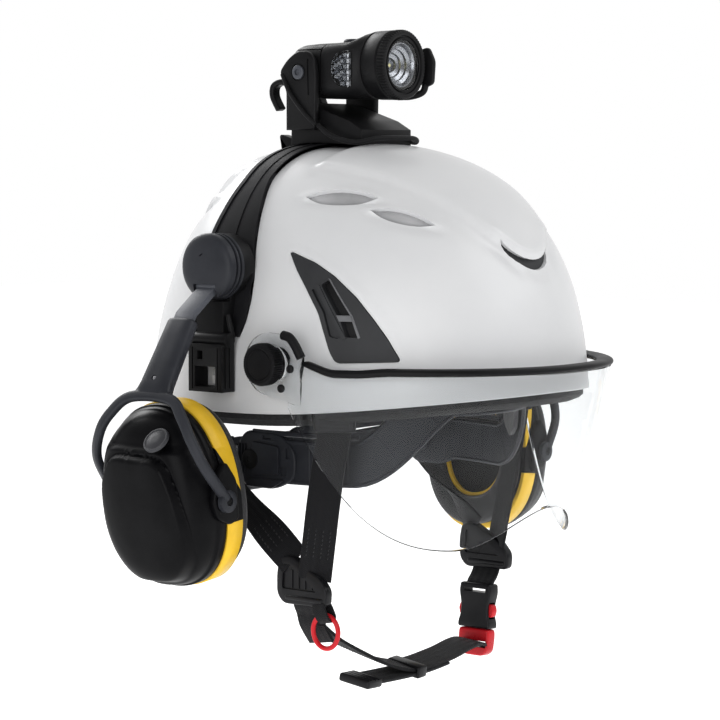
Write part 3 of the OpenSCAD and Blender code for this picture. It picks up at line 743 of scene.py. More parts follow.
def lens_outline(length, width, grow=0.0, steps=16):
    """A pointed lens between two equal arcs, long in local Y."""
    radius = (length ** 2 / 4 + width ** 2 / 4) / width
    centre = radius - width / 2
    radius += grow
    half = math.sqrt(radius ** 2 - centre ** 2)
    top = math.atan2(half, centre)
    right = [(radius * math.cos(a) - centre, radius * math.sin(a))
             for a in np.linspace(-top, top, steps)]
    left = [(-x, -y) for x, y in right]
    return np.array(right[:-1] + left[:-1])


def aim_matrix(centre, roll):
    """Local +Z away from the head's centre, as the vents are cut."""
    v = np.array(centre, float) - (0, CENTRE_Y, AIM_Z)
    tilt = math.acos(v[2] / np.linalg.norm(v))
    turn = math.atan2(v[1], v[0])
    m = (Matrix.Translation(Vector(centre)) @ Matrix.Rotation(turn, 4, "Z")
         @ Matrix.Rotation(tilt, 4, "Y") @ Matrix.Rotation(math.radians(roll), 4, "Z"))
    return np.array(m)


def into(matrix, points):
    """Points in a local frame."""
    p = np.asarray(points, float)
    return (p - matrix[:3, 3]) @ matrix[:3, :3]


VENT_FRAMES = [(aim_matrix(c, roll), length, width) for c, roll, length, width in VENTS]
CREASE_Y = [-152, -128, -120, -108, -87, -69, -45, 0, 50, 95, 126]
CREASE_X = [0.0, 18.0, 27.5, 34.5, 43.5, 49.0, 56.0, 62.0, 58.0, 42.0, 24.0]


def relief(points):
    """Height of the moulded features over the plain dome, in millimetres."""
    x, y, z = np.abs(points[..., 0]), points[..., 1], points[..., 2]
    crease = np.interp(y, CREASE_Y, CREASE_X)
    inboard = crease - x
    fade = smooth((y + 146) / 30) * smooth((118 - y) / 40) * smooth((z - 60) / 30)
    clear_of_band = 1 - smooth((y + 22) / 9) * smooth((47 - y) / 9)
    h = fade * (2.6 * smooth((inboard + 2.0) / 4) - 1.1 * np.exp(-((inboard + 5) / 5) ** 2))
    centre = np.exp(-(x / 60) ** 2) * smooth((z - 90) / 50)
    h = (h + 0.6 * centre) * clear_of_band
    mirrored = np.stack([x, y, z], -1)
    for matrix, length, width in VENT_FRAMES:
        local = into(matrix, mirrored)
        near = np.abs(local[..., 2]) < 30
        d = polygon_distance(local[..., 0], local[..., 1], lens_outline(length, width))
        lower = smooth((local[..., 0] + 1) / 5)
        h -= near * (2.0 * np.exp(-(np.maximum(d, 0) / 5.0) ** 2)) * lower
        h += near * (1.1 * np.exp(-(np.maximum(d, 0) / 3.5) ** 2)) * (1 - lower)
    d = polygon_distance(y, z, SIDE_OUTLINE)
    side = x > 60
    h += side * 0.7 * np.exp(-((d - 2.0) / 2.2) ** 2)
    d = polygon_distance(points[..., 0], z, crescent_outline())
    front = y < -90
    above = smooth((z - 88 - 0.018 * x ** 2) / 5)
    h += front * (2.2 * np.exp(-(np.maximum(d, 0) / 9.0) ** 2) * above
                  - 1.6 * np.exp(-(np.maximum(d, 0) / 6.0) ** 2) * (1 - above))
    rim = z - rim_height(np.arctan2(points[..., 0], CENTRE_Y - y))
    h += 0.9 * np.exp(-((rim - 1.5) / 1.8) ** 2)
    return h


def dome_points(columns, angles_of, offset, with_relief=True):
    """A grid of points over headings; angles_of gives the rows' angles for a heading array."""
    u = turns(columns)
    rows = []
    for angle in angles_of(u):
        p = dome(u, angle, offset)
        if with_relief:
            p = p + dome_normal(u, np.clip(angle, 1e-3, np.pi / 2 - 2e-3), offset) * relief(p)[:, None]
        rows.append(p)
    return np.array(rows)


def dome_shell(name, outer, inner, rim_drop=0.0, columns=288, rows=110, with_relief=True):
    """A dome wall between two offsets, with a rounded rim."""
    def angles(u, offset, count):
        first = angle_at(u, rim_height(u) + rim_drop, offset)
        return [lerp(first, np.pi / 2 - 1e-3, j / count) for j in range(count)]

    outside = dome_points(columns, lambda u: angles(u, outer, rows), outer, with_relief)
    inside = dome_points(columns, lambda u: angles(u, inner, rows // 3), inner, False)
    out0, in0 = outside[0], inside[0]
    bend = []
    for k in (0.15, 0.5, 0.85):
        drop = math.sin(math.pi * k) * abs(outer - inner) * 0.28
        bend.append(lerp(out0, in0, k) - np.array([0, 0, drop]))
    grid = np.concatenate([outside[::-1], np.array(bend), inside])
    m, n = grid.shape[:2]
    points = np.concatenate([grid.reshape(-1, 3), [[0, CENTRE_Y, TOP + outer],
                                                   [0, CENTRE_Y, TOP + inner]]])
    faces = grid_faces(m, n, False, True)
    faces += [(m * n, (i + 1) % n, i) for i in range(n)]
    faces += [(m * n + 1, (m - 1) * n + i, (m - 1) * n + (i + 1) % n) for i in range(n)]
    obj = mesh(name, points, faces, smooth_angle=50)
    outward(obj)
    return obj


def yz_prism(name, outline, x0, x1, side=LEFT):
    """An outline in the YZ plane run along X."""
    return extrude(name, outline, x1 - x0, side_plane(x0), side)


def xz_prism(name, outline, y0, y1):
    """An outline in the XZ plane run along Y."""
    return extrude(name, outline, y1 - y0, front_plane(y1))


def vent_prism(name, matrix, outline, side, low=-25, high=25):
    """A vent's outline run through the shell along the vent's own axis."""
    shifted = np.array(matrix)
    shifted[:3, 3] = matrix[:3, 3] + matrix[:3, 2] * low
    return extrude(name, outline, high - low, shifted, side)


def vent_cutters(grow):
    """Prisms for every opening, grown by a margin."""
    cutters = [xz_prism("cut_front", crescent_outline(grow), -170, -100)]
    for side, word in SIDES:
        cutters.append(yz_prism("cut_side_" + word, offset_outline(SIDE_OUTLINE, grow), 60, 130, side))
        for i, (matrix, length, width) in enumerate(VENT_FRAMES):
            cutters.append(vent_prism(f"cut_vent_{word}_{i}", matrix, lens_outline(length, width, grow),
                                      side))
    return cutters


def offset_outline(outline, grow):
    """An outline moved outward by a distance."""
    p = np.asarray(outline, float)
    tangent = unit(np.roll(p, -1, axis=0) - np.roll(p, 1, axis=0))
    area = np.sum(p[:, 0] * np.roll(p[:, 1], -1) - np.roll(p[:, 0], -1) * p[:, 1])
    normal = np.stack([tangent[:, 1], -tangent[:, 0]], -1) * (1 if area > 0 else -1)
    return p + normal * grow


def patch(name, cutter, outer, inner, columns=288, rows=110, with_relief=True):
    """The part of a dome wall that lies inside a prism."""
    obj = dome_shell(name, outer, inner, 0, columns, rows, with_relief)
    return carve(obj, cutter, operation="INTERSECT")


def build_shell():
    shell = dome_shell("shell_skin", 0, -SHELL_T)
    carve(shell, *vent_cutters(0))
    piece(shell, "helmet", WHITE, "shell_white", "outer_shell")


def build_inserts():
    """Black side and front inserts and the grey fillers of the ridge vents."""
    front = patch("front_vent_filler", xz_prism("p", crescent_outline(-0.15), -170, -100), -2.2,
                  -SHELL_T - 0.6, 240, 80)
    piece(front, "helmet", INSERT, "insert_black", "front_vent_insert")
    fillers = []
    for side, word in SIDES:
        for i, (matrix, length, width) in enumerate(VENT_FRAMES):
            cutter = vent_prism("p", matrix, lens_outline(length, width, -0.15), side)
            fillers.append(patch(f"filler_{word}_{i}", cutter, -2.4, -SHELL_T - 0.6, 200, 70))
    piece(join("ridge_vent_fillers", fillers), "helmet", VENT, "vent_grey", "ridge_vent_inserts")
    for side, word in SIDES:
        obj = patch("side_panel_" + word, yz_prism("p", offset_outline(SIDE_OUTLINE, -0.25), 60, 130,
                                                   side), 0.9, -SHELL_T, 288, 110)
        carve(obj, *[yz_prism("cut", o, 60, 130, side) for o in GRILLE_OPENINGS])
        carve(obj, patch("hollow", yz_prism("p", GRILLE_HOLLOW, 60, 130, side), 6, -0.7, 180, 70,
                         False))
        piece(obj, "helmet", INSERT, "insert_black", "side_insert_" + word)
        spine = patch("side_spine_" + word, yz_prism("p", GRILLE_SPINE, 60, 130, side), 1.5, -1, 180,
                      70, False)
        piece(spine, "helmet", INSERT, "insert_black")
        ribs = [patch("rib", yz_prism("p", o, 60, 130, side), 1.3, -1, 180, 70, False)
                for o in GRILLE_RIBS]
        piece(join("side_ribs_" + word, ribs), "helmet", RIB, "vent_grey")
        back = patch("side_screen_" + word, yz_prism("p", offset_outline(SIDE_OUTLINE, -1.5), 60, 130,
                                                     side), -SHELL_T - 0.1, -SHELL_T - 1.0, 200, 60,
                     False)
        piece(back, "helmet", BLACK, "insert_black")


# ---------------------------------------------------------------- visor
VISOR_Y, VISOR_Z = joint_point("visor_tilt")[1:]
LENS_U, SEAL_U, NOTCH_U = 62.0, 58.0, 22.0
LENS_T = 2.0
LENS_DROP, NOTCH_RISE = 104.0, 23.0
LUG_X, LUG_R = 115.5, 18.0
LENS_Z = 27.0


def lens_radius(u, z):
    k = np.abs(u) / LENS_U
    flare = lerp(14.0, 9.5, k * k)
    tuck = 1 - 0.12 * (np.maximum(LENS_Z - z, 0) / 88) ** 1.5
    return (plan_radius(np.radians(u)) + flare) * tuck


def lens_low(u):
    s = np.abs(u)
    a = 1 - s / NOTCH_U
    b = np.clip((s - NOTCH_U) / (LENS_U - NOTCH_U), 0, 1)
    edge = np.where(s < NOTCH_U, NOTCH_RISE * smooth(a * 1.02) * 0.96, (LENS_DROP - 22) * b ** 2.3)
    return LENS_Z - LENS_DROP + edge


def lens_top(u):
    s = np.abs(u)
    return LENS_Z - 2.1 - 1.4 * smooth((s - 38) / 8) + 5.0 * smooth((s - 50) / 8)


def lens_sheet(columns=200, rows=44):
    """The curved window, with a rounded lower edge and a nose notch."""
    us = np.linspace(-LENS_U, LENS_U, columns)
    rings = []
    for u in us:
        z = lerp(lens_top(u), lens_low(u), np.linspace(0, 1, rows))
        outer = polar(np.radians(u), lens_radius(u, z), z)
        inner = polar(np.radians(u), lens_radius(u, z) - LENS_T, z)
        lip = (outer[-1] + inner[-1]) / 2 - np.array([0, 0, 0.8])
        rings.append(np.concatenate([outer, [lip], inner[::-1]]))
    return loft("visor_window", rings, smooth_angle=45)


def hull_of(name, points, side):
    """The convex hull of a set of points."""
    obj = mesh(name, points, [], side)
    with edited(obj) as bm:
        out = bmesh.ops.convex_hull(bm, input=bm.verts)
        spare = [v for v in out["geom_interior"] if isinstance(v, bmesh.types.BMVert)]
        bmesh.ops.delete(bm, geom=spare, context="VERTS")
        bmesh.ops.dissolve_limit(bm, angle_limit=math.radians(1), verts=bm.verts, edges=bm.edges)
    outward(obj)
    return obj


def ring_points(x, radius, count=72):
    a = turns(count)
    return np.stack([np.full(count, x), VISOR_Y + radius * np.cos(a), VISOR_Z + radius * np.sin(a)], -1)


def lens_ear(side):
    """The ear of the window about its pivot, wider towards the stop."""
    p = polar(math.radians(LENS_U - 3), lens_radius(LENS_U, LENS_Z) - LENS_T, LENS_Z)
    corners = [(p[0] + dx, p[1] + dy, LENS_Z - 20 + dz)
               for dx in (0, LENS_T) for dy in (-1, 3) for dz in (0, 20)]
    rounds = [ring_points(x, r, 40) + (0, dy, dz) for x in (LUG_X, LUG_X + LENS_T)
              for r, dy, dz in ((LUG_R, 0, 0), (4, -15, 13), (3.5, -22, 4))]
    return hull_of("ear", np.concatenate(rounds + [corners]), side)


def build_visor():
    window = lens_sheet()
    carve(window, *[lens_ear(side) for side, _ in SIDES], operation="UNION", smooth_angle=32)
    holes = [lathe("hole", [(-10, 6.1), (12, 6.1)], (side * LUG_X, VISOR_Y, VISOR_Z), (side, 0, 0))
             for side, _ in SIDES]
    pockets = [lathe("pocket", [(-8, 11.5), (-0.05, 11.5)], (side * LUG_X, VISOR_Y, VISOR_Z),
                     (side, 0, 0)) for side, _ in SIDES]
    carve(window, *holes, *pockets, smooth_angle=32)
    piece(window, "visor", CLEAR, "visor_clear", "visor_lens")
    build_brow_seal()
    for side, word in SIDES:
        build_knob(side, word)
        build_ear_stop(side, word)


def build_brow_seal():
    """Soft black bead between the window and the shell."""
    us = np.linspace(-SEAL_U, SEAL_U, 150)
    section = superellipse(1, 1, 2.4, 28)
    rings = []
    for i, u in enumerate(us):
        outer = lens_radius(u, LENS_Z) + 1.3
        inner = plan_radius(math.radians(u)) + 4.4
        end = min(i, len(us) - 1 - i)
        shrink = min(1.0, 0.55 + 0.2 * end)
        mid, width = (outer + inner) / 2, (outer - inner) * shrink
        rings.append([polar(math.radians(u), mid + s * width, lens_top(u) + 2.3 + t * 4.5 * shrink)
                      for s, t in section])
    seal = loft("visor_seal", rings, smooth_angle=60)
    piece(seal, "visor", SEAL, "seal_rubber", "visor_brow_seal")


def build_ear_stop(side, word):
    """Rubber stop on the ear's front edge, the two round pins and the pivot's seat."""
    arc = [(LUG_X + 1.2, VISOR_Y - 10.5, VISOR_Z + 17), (LUG_X + 1.4, VISOR_Y - 15.5, VISOR_Z + 15.8),
           (LUG_X + 1.2, VISOR_Y - 19.5, VISOR_Z + 11.5), (LUG_X + 0.6, VISOR_Y - 23.5, VISOR_Z + 4.5)]
    stop = tube("visor_stop_" + word, catmull([(side * x, y, z) for x, y, z in arc], 8), 2.7, sides=20)
    piece(stop, "visor", SEAL, "seal_rubber")
    pins = []
    for angle in (187, 234):
        a = math.radians(angle)
        at = (side * (LUG_X + LENS_T), VISOR_Y + 16.8 * math.cos(a), VISOR_Z + 16.8 * math.sin(a))
        pins.append(lathe("pin", [(-0.2, 0), (-0.2, 2.4), (0.9, 2.4), (1.45, 1.9), (1.6, 1.2),
                                  (1.35, 0.9), (1.3, 0)], at, (side, 0, 0), count=32))
    piece(join("visor_pins_" + word, pins), "visor", BLACK, "seal_rubber", *once(side, "visor_rivets"))
    seat = lathe("visor_seat_" + word, [(-7.5, 0), (-7.5, 9), (-1.4, 8.6), (-0.5, 7.8), (-0.45, 6),
                                        (2.2, 5.8), (2.25, 2.8), (-7, 2.6), (-7, 0)],
                 (side * LUG_X, VISOR_Y, VISOR_Z), (side, 0, 0))
    piece(seat, "helmet", BLACK, "knob_plastic", "visor_mount_" + word)


def build_knob(side, word):
    """Knurled screw knob with a shallow dished face."""
    teeth, per = 56, 6
    a = turns(teeth * per)
    ridge = 0.5 + 0.5 * np.cos(a * teeth)
    at = np.array([LUG_X + LENS_T, VISOR_Y, VISOR_Z])
    levels = [(0.6, 2.4, 0), (0.6, 11.2, 0), (1.0, 12.0, 0.35), (1.6, 12.3, 1), (7.4, 12.3, 1),
              (8.2, 12.0, 0.8), (8.9, 11.2, 0.2), (9.1, 10.4, 0), (8.9, 9.6, 0), (8.3, 9.2, 0),
              (8.2, 8.6, 0), (8.6, 8.2, 0), (8.9, 5.0, 0), (8.95, 0.4, 0)]
    rings = [[at + (h, (r - 0.65 * k * (1 - ridge[i])) * math.cos(a[i]),
                    (r - 0.65 * k * (1 - ridge[i])) * math.sin(a[i])) for i in range(len(a))]
             for h, r, k in levels]
    head = loft("head", rings, side, smooth_angle=35)
    stem = lathe("stem", [(-7, 0), (-7, 2.4), (0.7, 2.4), (0.7, 0)],
                 (side * at[0], VISOR_Y, VISOR_Z), (side, 0, 0), count=32)
    piece(join("visor_knob_" + word, [head, stem]), "knob_" + word, KNOB, "knob_plastic",
          "knob_" + word)


# ---------------------------------------------------------------- earmuffs, drawn on the left
HUB = joint_point("muff_swing_left") * (0, 1, 1) + (113.2, 0, 0)
PIN = joint_point("muff_flip_left")
CUP = joint_point("cup_tilt_left")
ARM_FLARE = math.radians(32)
CUP_TIP, CUP_LEAN = math.radians(6), math.radians(6)
CUP_W, CUP_H = 80.0, 108.0
# Points down one leg of the bail, Y measured from the arm's middle
BAIL = ((173, 15, 12), (177, 28, 2), (178, 36, -10), (173, 42.5, -26))


def turned(origin, angle):
    """A frame turned about +Y, local +X outward."""
    c, s = math.cos(angle), math.sin(angle)
    out = np.eye(4)
    out[:3, 0], out[:3, 2], out[:3, 3] = (c, 0, -s), (s, 0, c), origin
    return out


ARM = turned(np.array((131.0, HUB[1], 77.0)), -ARM_FLARE)
CUP_FRAME = turned(CUP, CUP_TIP)


def moved(obj, matrix):
    """Moves mesh points, drawn about the origin, into a frame, given in millimetres."""
    m = Matrix(matrix.tolist())
    m.translation = m.translation * MM
    obj.data.transform(m)
    return obj


def flip(obj, side):
    """Mirrors a finished left mesh for the right."""
    if side < 0:
        obj.data.transform(Matrix.Diagonal((-1, 1, 1, 1)))
        obj.data.flip_normals()
    return obj


def from_seam(body, cuts):
    """Cuts one after another, so that overlapping cutters are safe."""
    for cutter in cuts:
        carve(body, cutter, smooth_angle=40)
    return body


def cup_oval(x, k, count=144, power=2.3):
    p = superellipse(CUP_W * k, CUP_H * k, power, count)
    c, s = math.cos(CUP_LEAN), math.sin(CUP_LEAN)
    return np.stack([np.full(count, float(x)), p[:, 1] * s - p[:, 0] * c, p[:, 0] * s + p[:, 1] * c],
                    -1)


def cup_loft(name, levels, count=96, **looks):
    """A loft through the cup's ovals, each given by its X and its size against the widest."""
    return loft(name, [cup_oval(x, k, count) for x, k in levels], **looks)


def cup_relief(y, z):
    """Bulged lower panel, the recess above it and a soft crease, in millimetres."""
    panel = polygon_distance(y, z, rounded_outline([(22, 28), (-18, 27), (-27, 8), (-32, -12),
                                                    (-32, -32), (-18, -48), (15, -48), (32, -25),
                                                    (32, 10)], 9))
    h = 3.4 * smooth(-panel / 2.6) - 3.0 * smooth((z - 29) / 4) * smooth((34 - np.abs(y)) / 10)
    return h - 1.2 * np.exp(-((panel + 0.2) / 1.1) ** 2)


def build_cup(side, word):
    body = "ear_cup_" + word
    profile = [(-18, 0.90), (-4.6, 0.90), (-4.4, 0.945), (-4.2, 0.975), (-3.6, 0.985), (1.6, 0.985),
               (2.1, 0.98), (2.3, 0.968), (2.6, 0.962), (5, 0.958), (8.5, 0.945), (12, 0.92),
               (15, 0.888), (17.5, 0.85), (19.6, 0.80), (21.2, 0.74), (22.3, 0.67), (23.1, 0.58),
               (23.7, 0.48), (24.1, 0.36), (24.3, 0.24), (24.4, 0.12), (24.4, 0.02)]
    dense = catmull(profile[9:], 4)
    rows = profile[:9] + [tuple(v) for v in dense]
    rings = []
    for x, k in rows:
        ring = cup_oval(x, max(k, 0.015), 200)
        if x > 4.5:
            ring[:, 0] += cup_relief(ring[:, 1], ring[:, 2]) * smooth((x - 4.5) / 6)
        rings.append(ring)
    shell = loft("cup_shell_" + word, rings, smooth_angle=50)
    inner = cup_loft("hollow", ((-20, 0.875), (-2, 0.87), (9, 0.82), (17, 0.70), (19, 0.5)))
    carve(shell, inner, smooth_angle=50)
    saddles = []
    for s in (-1, 1):
        outline = rounded_outline([(-4.6, 22), (-12.2, 10), (-12.2, -13), (-4, -15), (5, -10), (8, 0),
                                   (4, 14)], 3)
        wing = extrude("saddle", outline, 5.2, front_plane(42.6 if s > 0 else -37.4))
        bevel(wing, 1.6, 4)
        saddles.append(wing)
        saddles.append(lathe("stud", [(-4, 0), (-4, 3.6), (4.0, 3.4), (4.2, 2.45), (7.6, 2.45),
                                      (7.9, 2.1), (7.9, 0)], (0, s * 38.6, 0), (0, s, 0), count=40))
    plug = lathe("cup_plug_" + word, [(0, 0), (0, 8.1), (1.5, 8.1), (2.0, 7.6), (2.05, 6.9), (1.7, 6.6),
                                      (1.75, 6.1), (2.1, 5.7), (2.3, 2), (2.3, 0)], (0, 0, 0),
                 (0, 0, 1), count=64)
    seat = placed((21.0, -14, 36.5), (0, 1, 0), (-math.sin(math.radians(48)), 0,
                                                 math.cos(math.radians(48))))
    moved(plug, seat)
    trim, filler = cup_band(word)
    whole = join("cup_body_" + word, [shell, filler] + saddles)
    cushion = build_cushion(word)
    foam_pad = cup_loft("cup_foam_" + word, ((-11.7, 0.80), (-11, 0.84), (-3, 0.84), (-2.4, 0.8)),
                        smooth_angle=40)
    ring = cup_loft("foam_ring_" + word, ((-17.5, 0.615), (-20.6, 0.61), (-20.6, 0.56), (-17.5, 0.565)),
                    closed=True)
    piece(flip(moved(ring, CUP_FRAME), side), body, YELLOW, "cup_yellow")
    for obj, material, name, node in ((whole, CUP_BLACK, "cup_black", "cup_shell_"),
                                      (trim, YELLOW, "cup_yellow", "cup_trim_"),
                                      (cushion, VINYL, "cushion_vinyl", "cup_cushion_"),
                                      (foam_pad, FOAM_DARK, "foam_yellow", "cup_foam_"),
                                      (plug, PLUG, "plug_grey", "cup_plug_")):
        moved(obj, CUP_FRAME)
        flip(obj, side)
        piece(obj, body, material, name, node + word)


def cup_band(word):
    """Yellow band round the cup, and the black pieces that replace it at the pivots."""
    def ring(name):
        levels = ((-4.55, 0.94), (-4.5, 0.992), (-4.9, 1.0), (-17.0, 1.0), (-17.6, 0.99), (-17.7, 0.94))
        return cup_loft(name, levels, 200, closed=True, smooth_angle=50)

    def cutters(grow):
        outline = offset_outline(rounded_outline([(-20, -14.5), (-2.5, -14.5), (-2.5, 34), (-5, 28),
                                                  (-10, 16), (-17.8, 2), (-20, 0)], 0.8), grow)
        return [extrude("cut", outline, 26, front_plane(y)) for y in (52, -26)]

    band = carve(ring("cup_trim_" + word), *cutters(0), smooth_angle=50)
    filler = carve(ring("filler"), join("zone", cutters(-0.12)), operation="INTERSECT", smooth_angle=50)
    return band, filler


def build_cushion(word):
    """Soft oval ring with a sewn seam and shallow wrinkles."""
    count = 220
    a = np.linspace(0, 2 * np.pi, count, endpoint=False)
    section_steps = 26
    rows = []
    for k in range(section_steps):
        t = 2 * np.pi * k / section_steps
        cx, cr = math.cos(t), math.sin(t)
        x = -22.2 + 3.8 * np.sign(cx) * abs(cx) ** 0.75
        level = 0.775 + 0.175 * np.sign(cr) * abs(cr) ** 0.8
        ring = cup_oval(x, level, count)
        depth = 0.35 * np.sin(a * 31 + 1.3 * math.sin(t)) * max(0.0, -cx * 0.4 + 0.3)
        wave = depth * (0.6 + 0.4 * np.sin(a * 5))
        seam = -0.7 * math.exp(-((x + 23.6) / 0.8) ** 2) if cr > 0 else 0
        ring[:, 0] += wave * 0.6
        ring[:, 1:] *= 1 + (wave[:, None] * 0.3 + seam) / 45
        rows.append(ring)
    rows = np.array(rows)
    faces = grid_faces(section_steps, count, True, True)
    obj = mesh("cushion_soft_" + word, rows, faces, smooth_angle=70)
    outward(obj)
    return obj


def in_arm(point):
    """A point of the row frame in the arm's own frame."""
    return (np.linalg.inv(ARM) @ (*point, 1))[:3]


def bail_bar(path):
    """Flattened bar whose flat face looks outward."""
    tangent = unit(np.gradient(path, axis=0))
    face = unit(np.array((1.0, 0, 0)) - tangent * tangent[:, :1])
    wide = np.cross(tangent, face)
    section = superellipse(6.4, 4.8, 3.0, 28)
    return loft("bow", [p + np.outer(section[:, 0], w) + np.outer(section[:, 1], f)
                        for p, w, f in zip(path, wide, face)], smooth_angle=50)


def build_arm(side, word):
    slider = from_cad("arm_slider_left", "arm_slide_" + word, 0.7, 3)
    grooves = []
    for k in range(7):
        z = -29 - k * 5
        grooves.append(moved(block("groove", (1.35, -4.5, z), (3, 4.5, z + 1.1)), ARM))
    carve(slider, *grooves)
    piece(flip(slider, side), "muff_arm_" + word, SLIDER, "slider_grey", "arm_slider_" + word)

    sleeve_path = [(-26.2, 8.6, 3.2), (-27.0, 9.6, 4.2), (-28.5, 10.0, 4.6), (-38, 10.2, 4.8),
                   (-52, 10.6, 5.0), (-68, 11.2, 5.0), (-72.5, 12.4, 4.6), (-75, 15.0, 3.8)]
    rings = []
    for z, half_y, half_x in sleeve_path:
        oval = superellipse(2 * half_x, 2 * half_y, 3.4, 56)
        rings.append(np.stack([oval[:, 0], oval[:, 1], np.full(56, float(z))], -1))
    sleeve = loft("sleeve", rings, smooth_angle=50)
    carve(sleeve, block("slot", (-2.1, -7.35, -68), (2.1, 7.35, -10)))
    stud = in_arm(CUP)
    half = np.array([in_arm((x, HUB[1] + y, z)) for x, y, z in BAIL] + [(stud[0], 45.2, stud[2])])
    bow = bail_bar(catmull(np.concatenate([half[::-1] * (1, -1, 1), half]), 9))
    plates = []
    for s in (-1, 1):
        ring = lathe("eye", [(-2.0, 2.6), (-2.0, 5.6), (-1.5, 6.4), (1.5, 6.4), (2.1, 5.6), (2.1, 2.6)],
                     (stud[0], s * 44.9, stud[2]), (0, s, 0), count=48)
        plates.append(ring)
    fork = carve(sleeve, bow, *plates, operation="UNION", smooth_angle=42)
    screw = lathe("hole", [(0, 1.6), (3, 1.6)], (3.6, 0, -66), (1, 0, 0), count=24)
    carve(fork, screw)
    holes = [lathe("hole", [(-8, 2.55), (8, 2.55)], (stud[0], s * 45, stud[2]), (0, s, 0), count=32)
             for s in (-1, 1)]
    carve(fork, *holes)
    screw_head = lathe("screw_head_" + word, [(0, 0), (0, 1.5), (0.7, 1.4), (0.9, 0.9), (0.6, 0.5),
                                              (0.5, 0)], (3.8, 0, -66), (1, 0, 0), count=24)
    for obj, material, name, nodes in ((fork, GRAPHITE, "muff_graphite", ("arm_fork_" + word,)),
                                       (screw_head, STEEL, "pin_steel", ())):
        moved(obj, ARM)
        flip(obj, side)
        obj.name = ("arm_fork_bow_" if nodes else "arm_screw_") + word
        piece(obj, "muff_fork_" + word, material, name, *nodes)


def build_hub(side, word):
    """Ribbed round hub with a window for the arm."""
    x = HUB[0]
    r = 19.5
    profile = [(0.3, 0), (0.3, r - 0.8), (0.7, r), (2.2, r), (2.5, r - 0.5), (2.6, r - 1.7),
               (3.8, r - 1.7), (4.0, r - 0.5), (4.3, r), (5.6, r), (5.9, r - 0.5), (6.0, r - 1.7),
               (7.2, r - 1.7), (7.4, r - 0.5), (7.8, r), (10.8, r), (12.0, r - 0.3), (13.0, r - 1.3),
               (13.8, r - 3.2), (14.4, r - 6), (14.7, r - 9), (14.9, r - 13), (14.9, 0)]
    hub = lathe("hub", profile, (x, HUB[1], HUB[2]), (1, 0, 0), count=128)
    seat = block("window", (PIN[0] - 4.9, HUB[1] - 8.5, 40), (PIN[0] + 4.8, HUB[1] + 8.5, PIN[2] + 5))
    window = block("window", (PIN[0], HUB[1] - 8.5, 40), (x + 40, HUB[1] + 8.5, PIN[2] + 1))
    groove_path = []
    for t in np.linspace(-0.15, 1, 26):
        a = math.radians(100 - 118 * t)
        rr = 7.6 + 3.4 * t
        groove_path.append((x + 14.7 - 0.012 * rr ** 2 - 0.5 * smooth(t),
                            HUB[1] - rr * math.cos(a) * 0.9, HUB[2] + rr * math.sin(a)))
    groove = tube("groove", groove_path, 0.9, sides=10)
    from_seam(hub, [seat, window, groove])
    piece(flip(hub, side), "muff_hub_" + word, GRAPHITE, "muff_graphite", "muff_hub_" + word)
    pin = lathe("hub_axle_" + word, [(-11.9, 0), (-11.9, 1.7), (-11.5, 2), (11.5, 2), (11.9, 1.7),
                                     (11.9, 0)], (PIN[0], PIN[1], PIN[2]), (0, 1, 0), count=32)
    piece(flip(pin, side), "muff_hub_" + word, STEEL, "pin_steel", "hub_pin_" + word)


def build_adapter(side, word):
    """Clip-in block that carries the hub on the shell's side slot."""
    block_body = from_cad("muff_adapter_left", "muff_adapter_body_" + word, 0.9, 3, 35)
    y = HUB[1]
    cuts = [block("c", (124.2, y - 8.2, 13.5), (126, y - 7.4, 38)),
            block("c", (124.2, y + 11.4, 13.5), (126, y + 12.2, 38)),
            block("c", (117.6, y - 12, 14), (118.6, y - 10.4, 38)),
            block("c", (121.4, y - 12, 14), (122.4, y - 10.4, 38))]
    carve(block_body, *cuts)
    piece(flip(block_body, side), "helmet", BLACK, "muff_graphite", "muff_adapter_" + word)
    hook = block("hook", (114.4, y - 3.4, 15.6), (117.2, y + 3.0, 25.5))
    bevel(hook, 1.1, 3)
    tip = block("tip", (117.0, y - 1.2, 16), (119.6, y + 1.6, 22))
    bevel(tip, 0.9, 3)
    clip = join("adapter_clip_" + word, [hook, tip])
    piece(flip(clip, side), "helmet", PALE, "vent_grey")
    arch = [(115.6, y - 11.6, 44), (117.8, y - 11.8, 50), (117.6, y - 9.6, 57)]
    ear_front = tube("ear", catmull(arch, 5), 1.6, sides=12)
    ear_rear = tube("ear", catmull([(a, 2 * y + 4 - b, c) for a, b, c in arch], 5), 1.6, sides=12)
    piece(flip(join("adapter_ears_" + word, [ear_front, ear_rear]), side), "helmet", BLACK,
          "muff_graphite")


def build_muffs():
    for side, word in SIDES:
        build_adapter(side, word)
        build_hub(side, word)
        build_arm(side, word)
        build_cup(side, word)


# ---------------------------------------------------------------- head lamp
LAMP_AXIS = joint_point("lamp_focus_turn")
LAMP_Z = LAMP_AXIS[2]
LAMP_PIVOT = joint_point("lamp_tilt")
CHEEK = [(9, 165), (32, 165), (30.5, 182), (33.5, 193), (37.5, 200.5), (31, 208), (23.5, 212.8),
         (14, 212.6), (9.5, 207), (8.2, 198), (8.6, 184)]


def build_lamp():
    build_lamp_base()
    build_lamp_body()
    build_lamp_bezel()


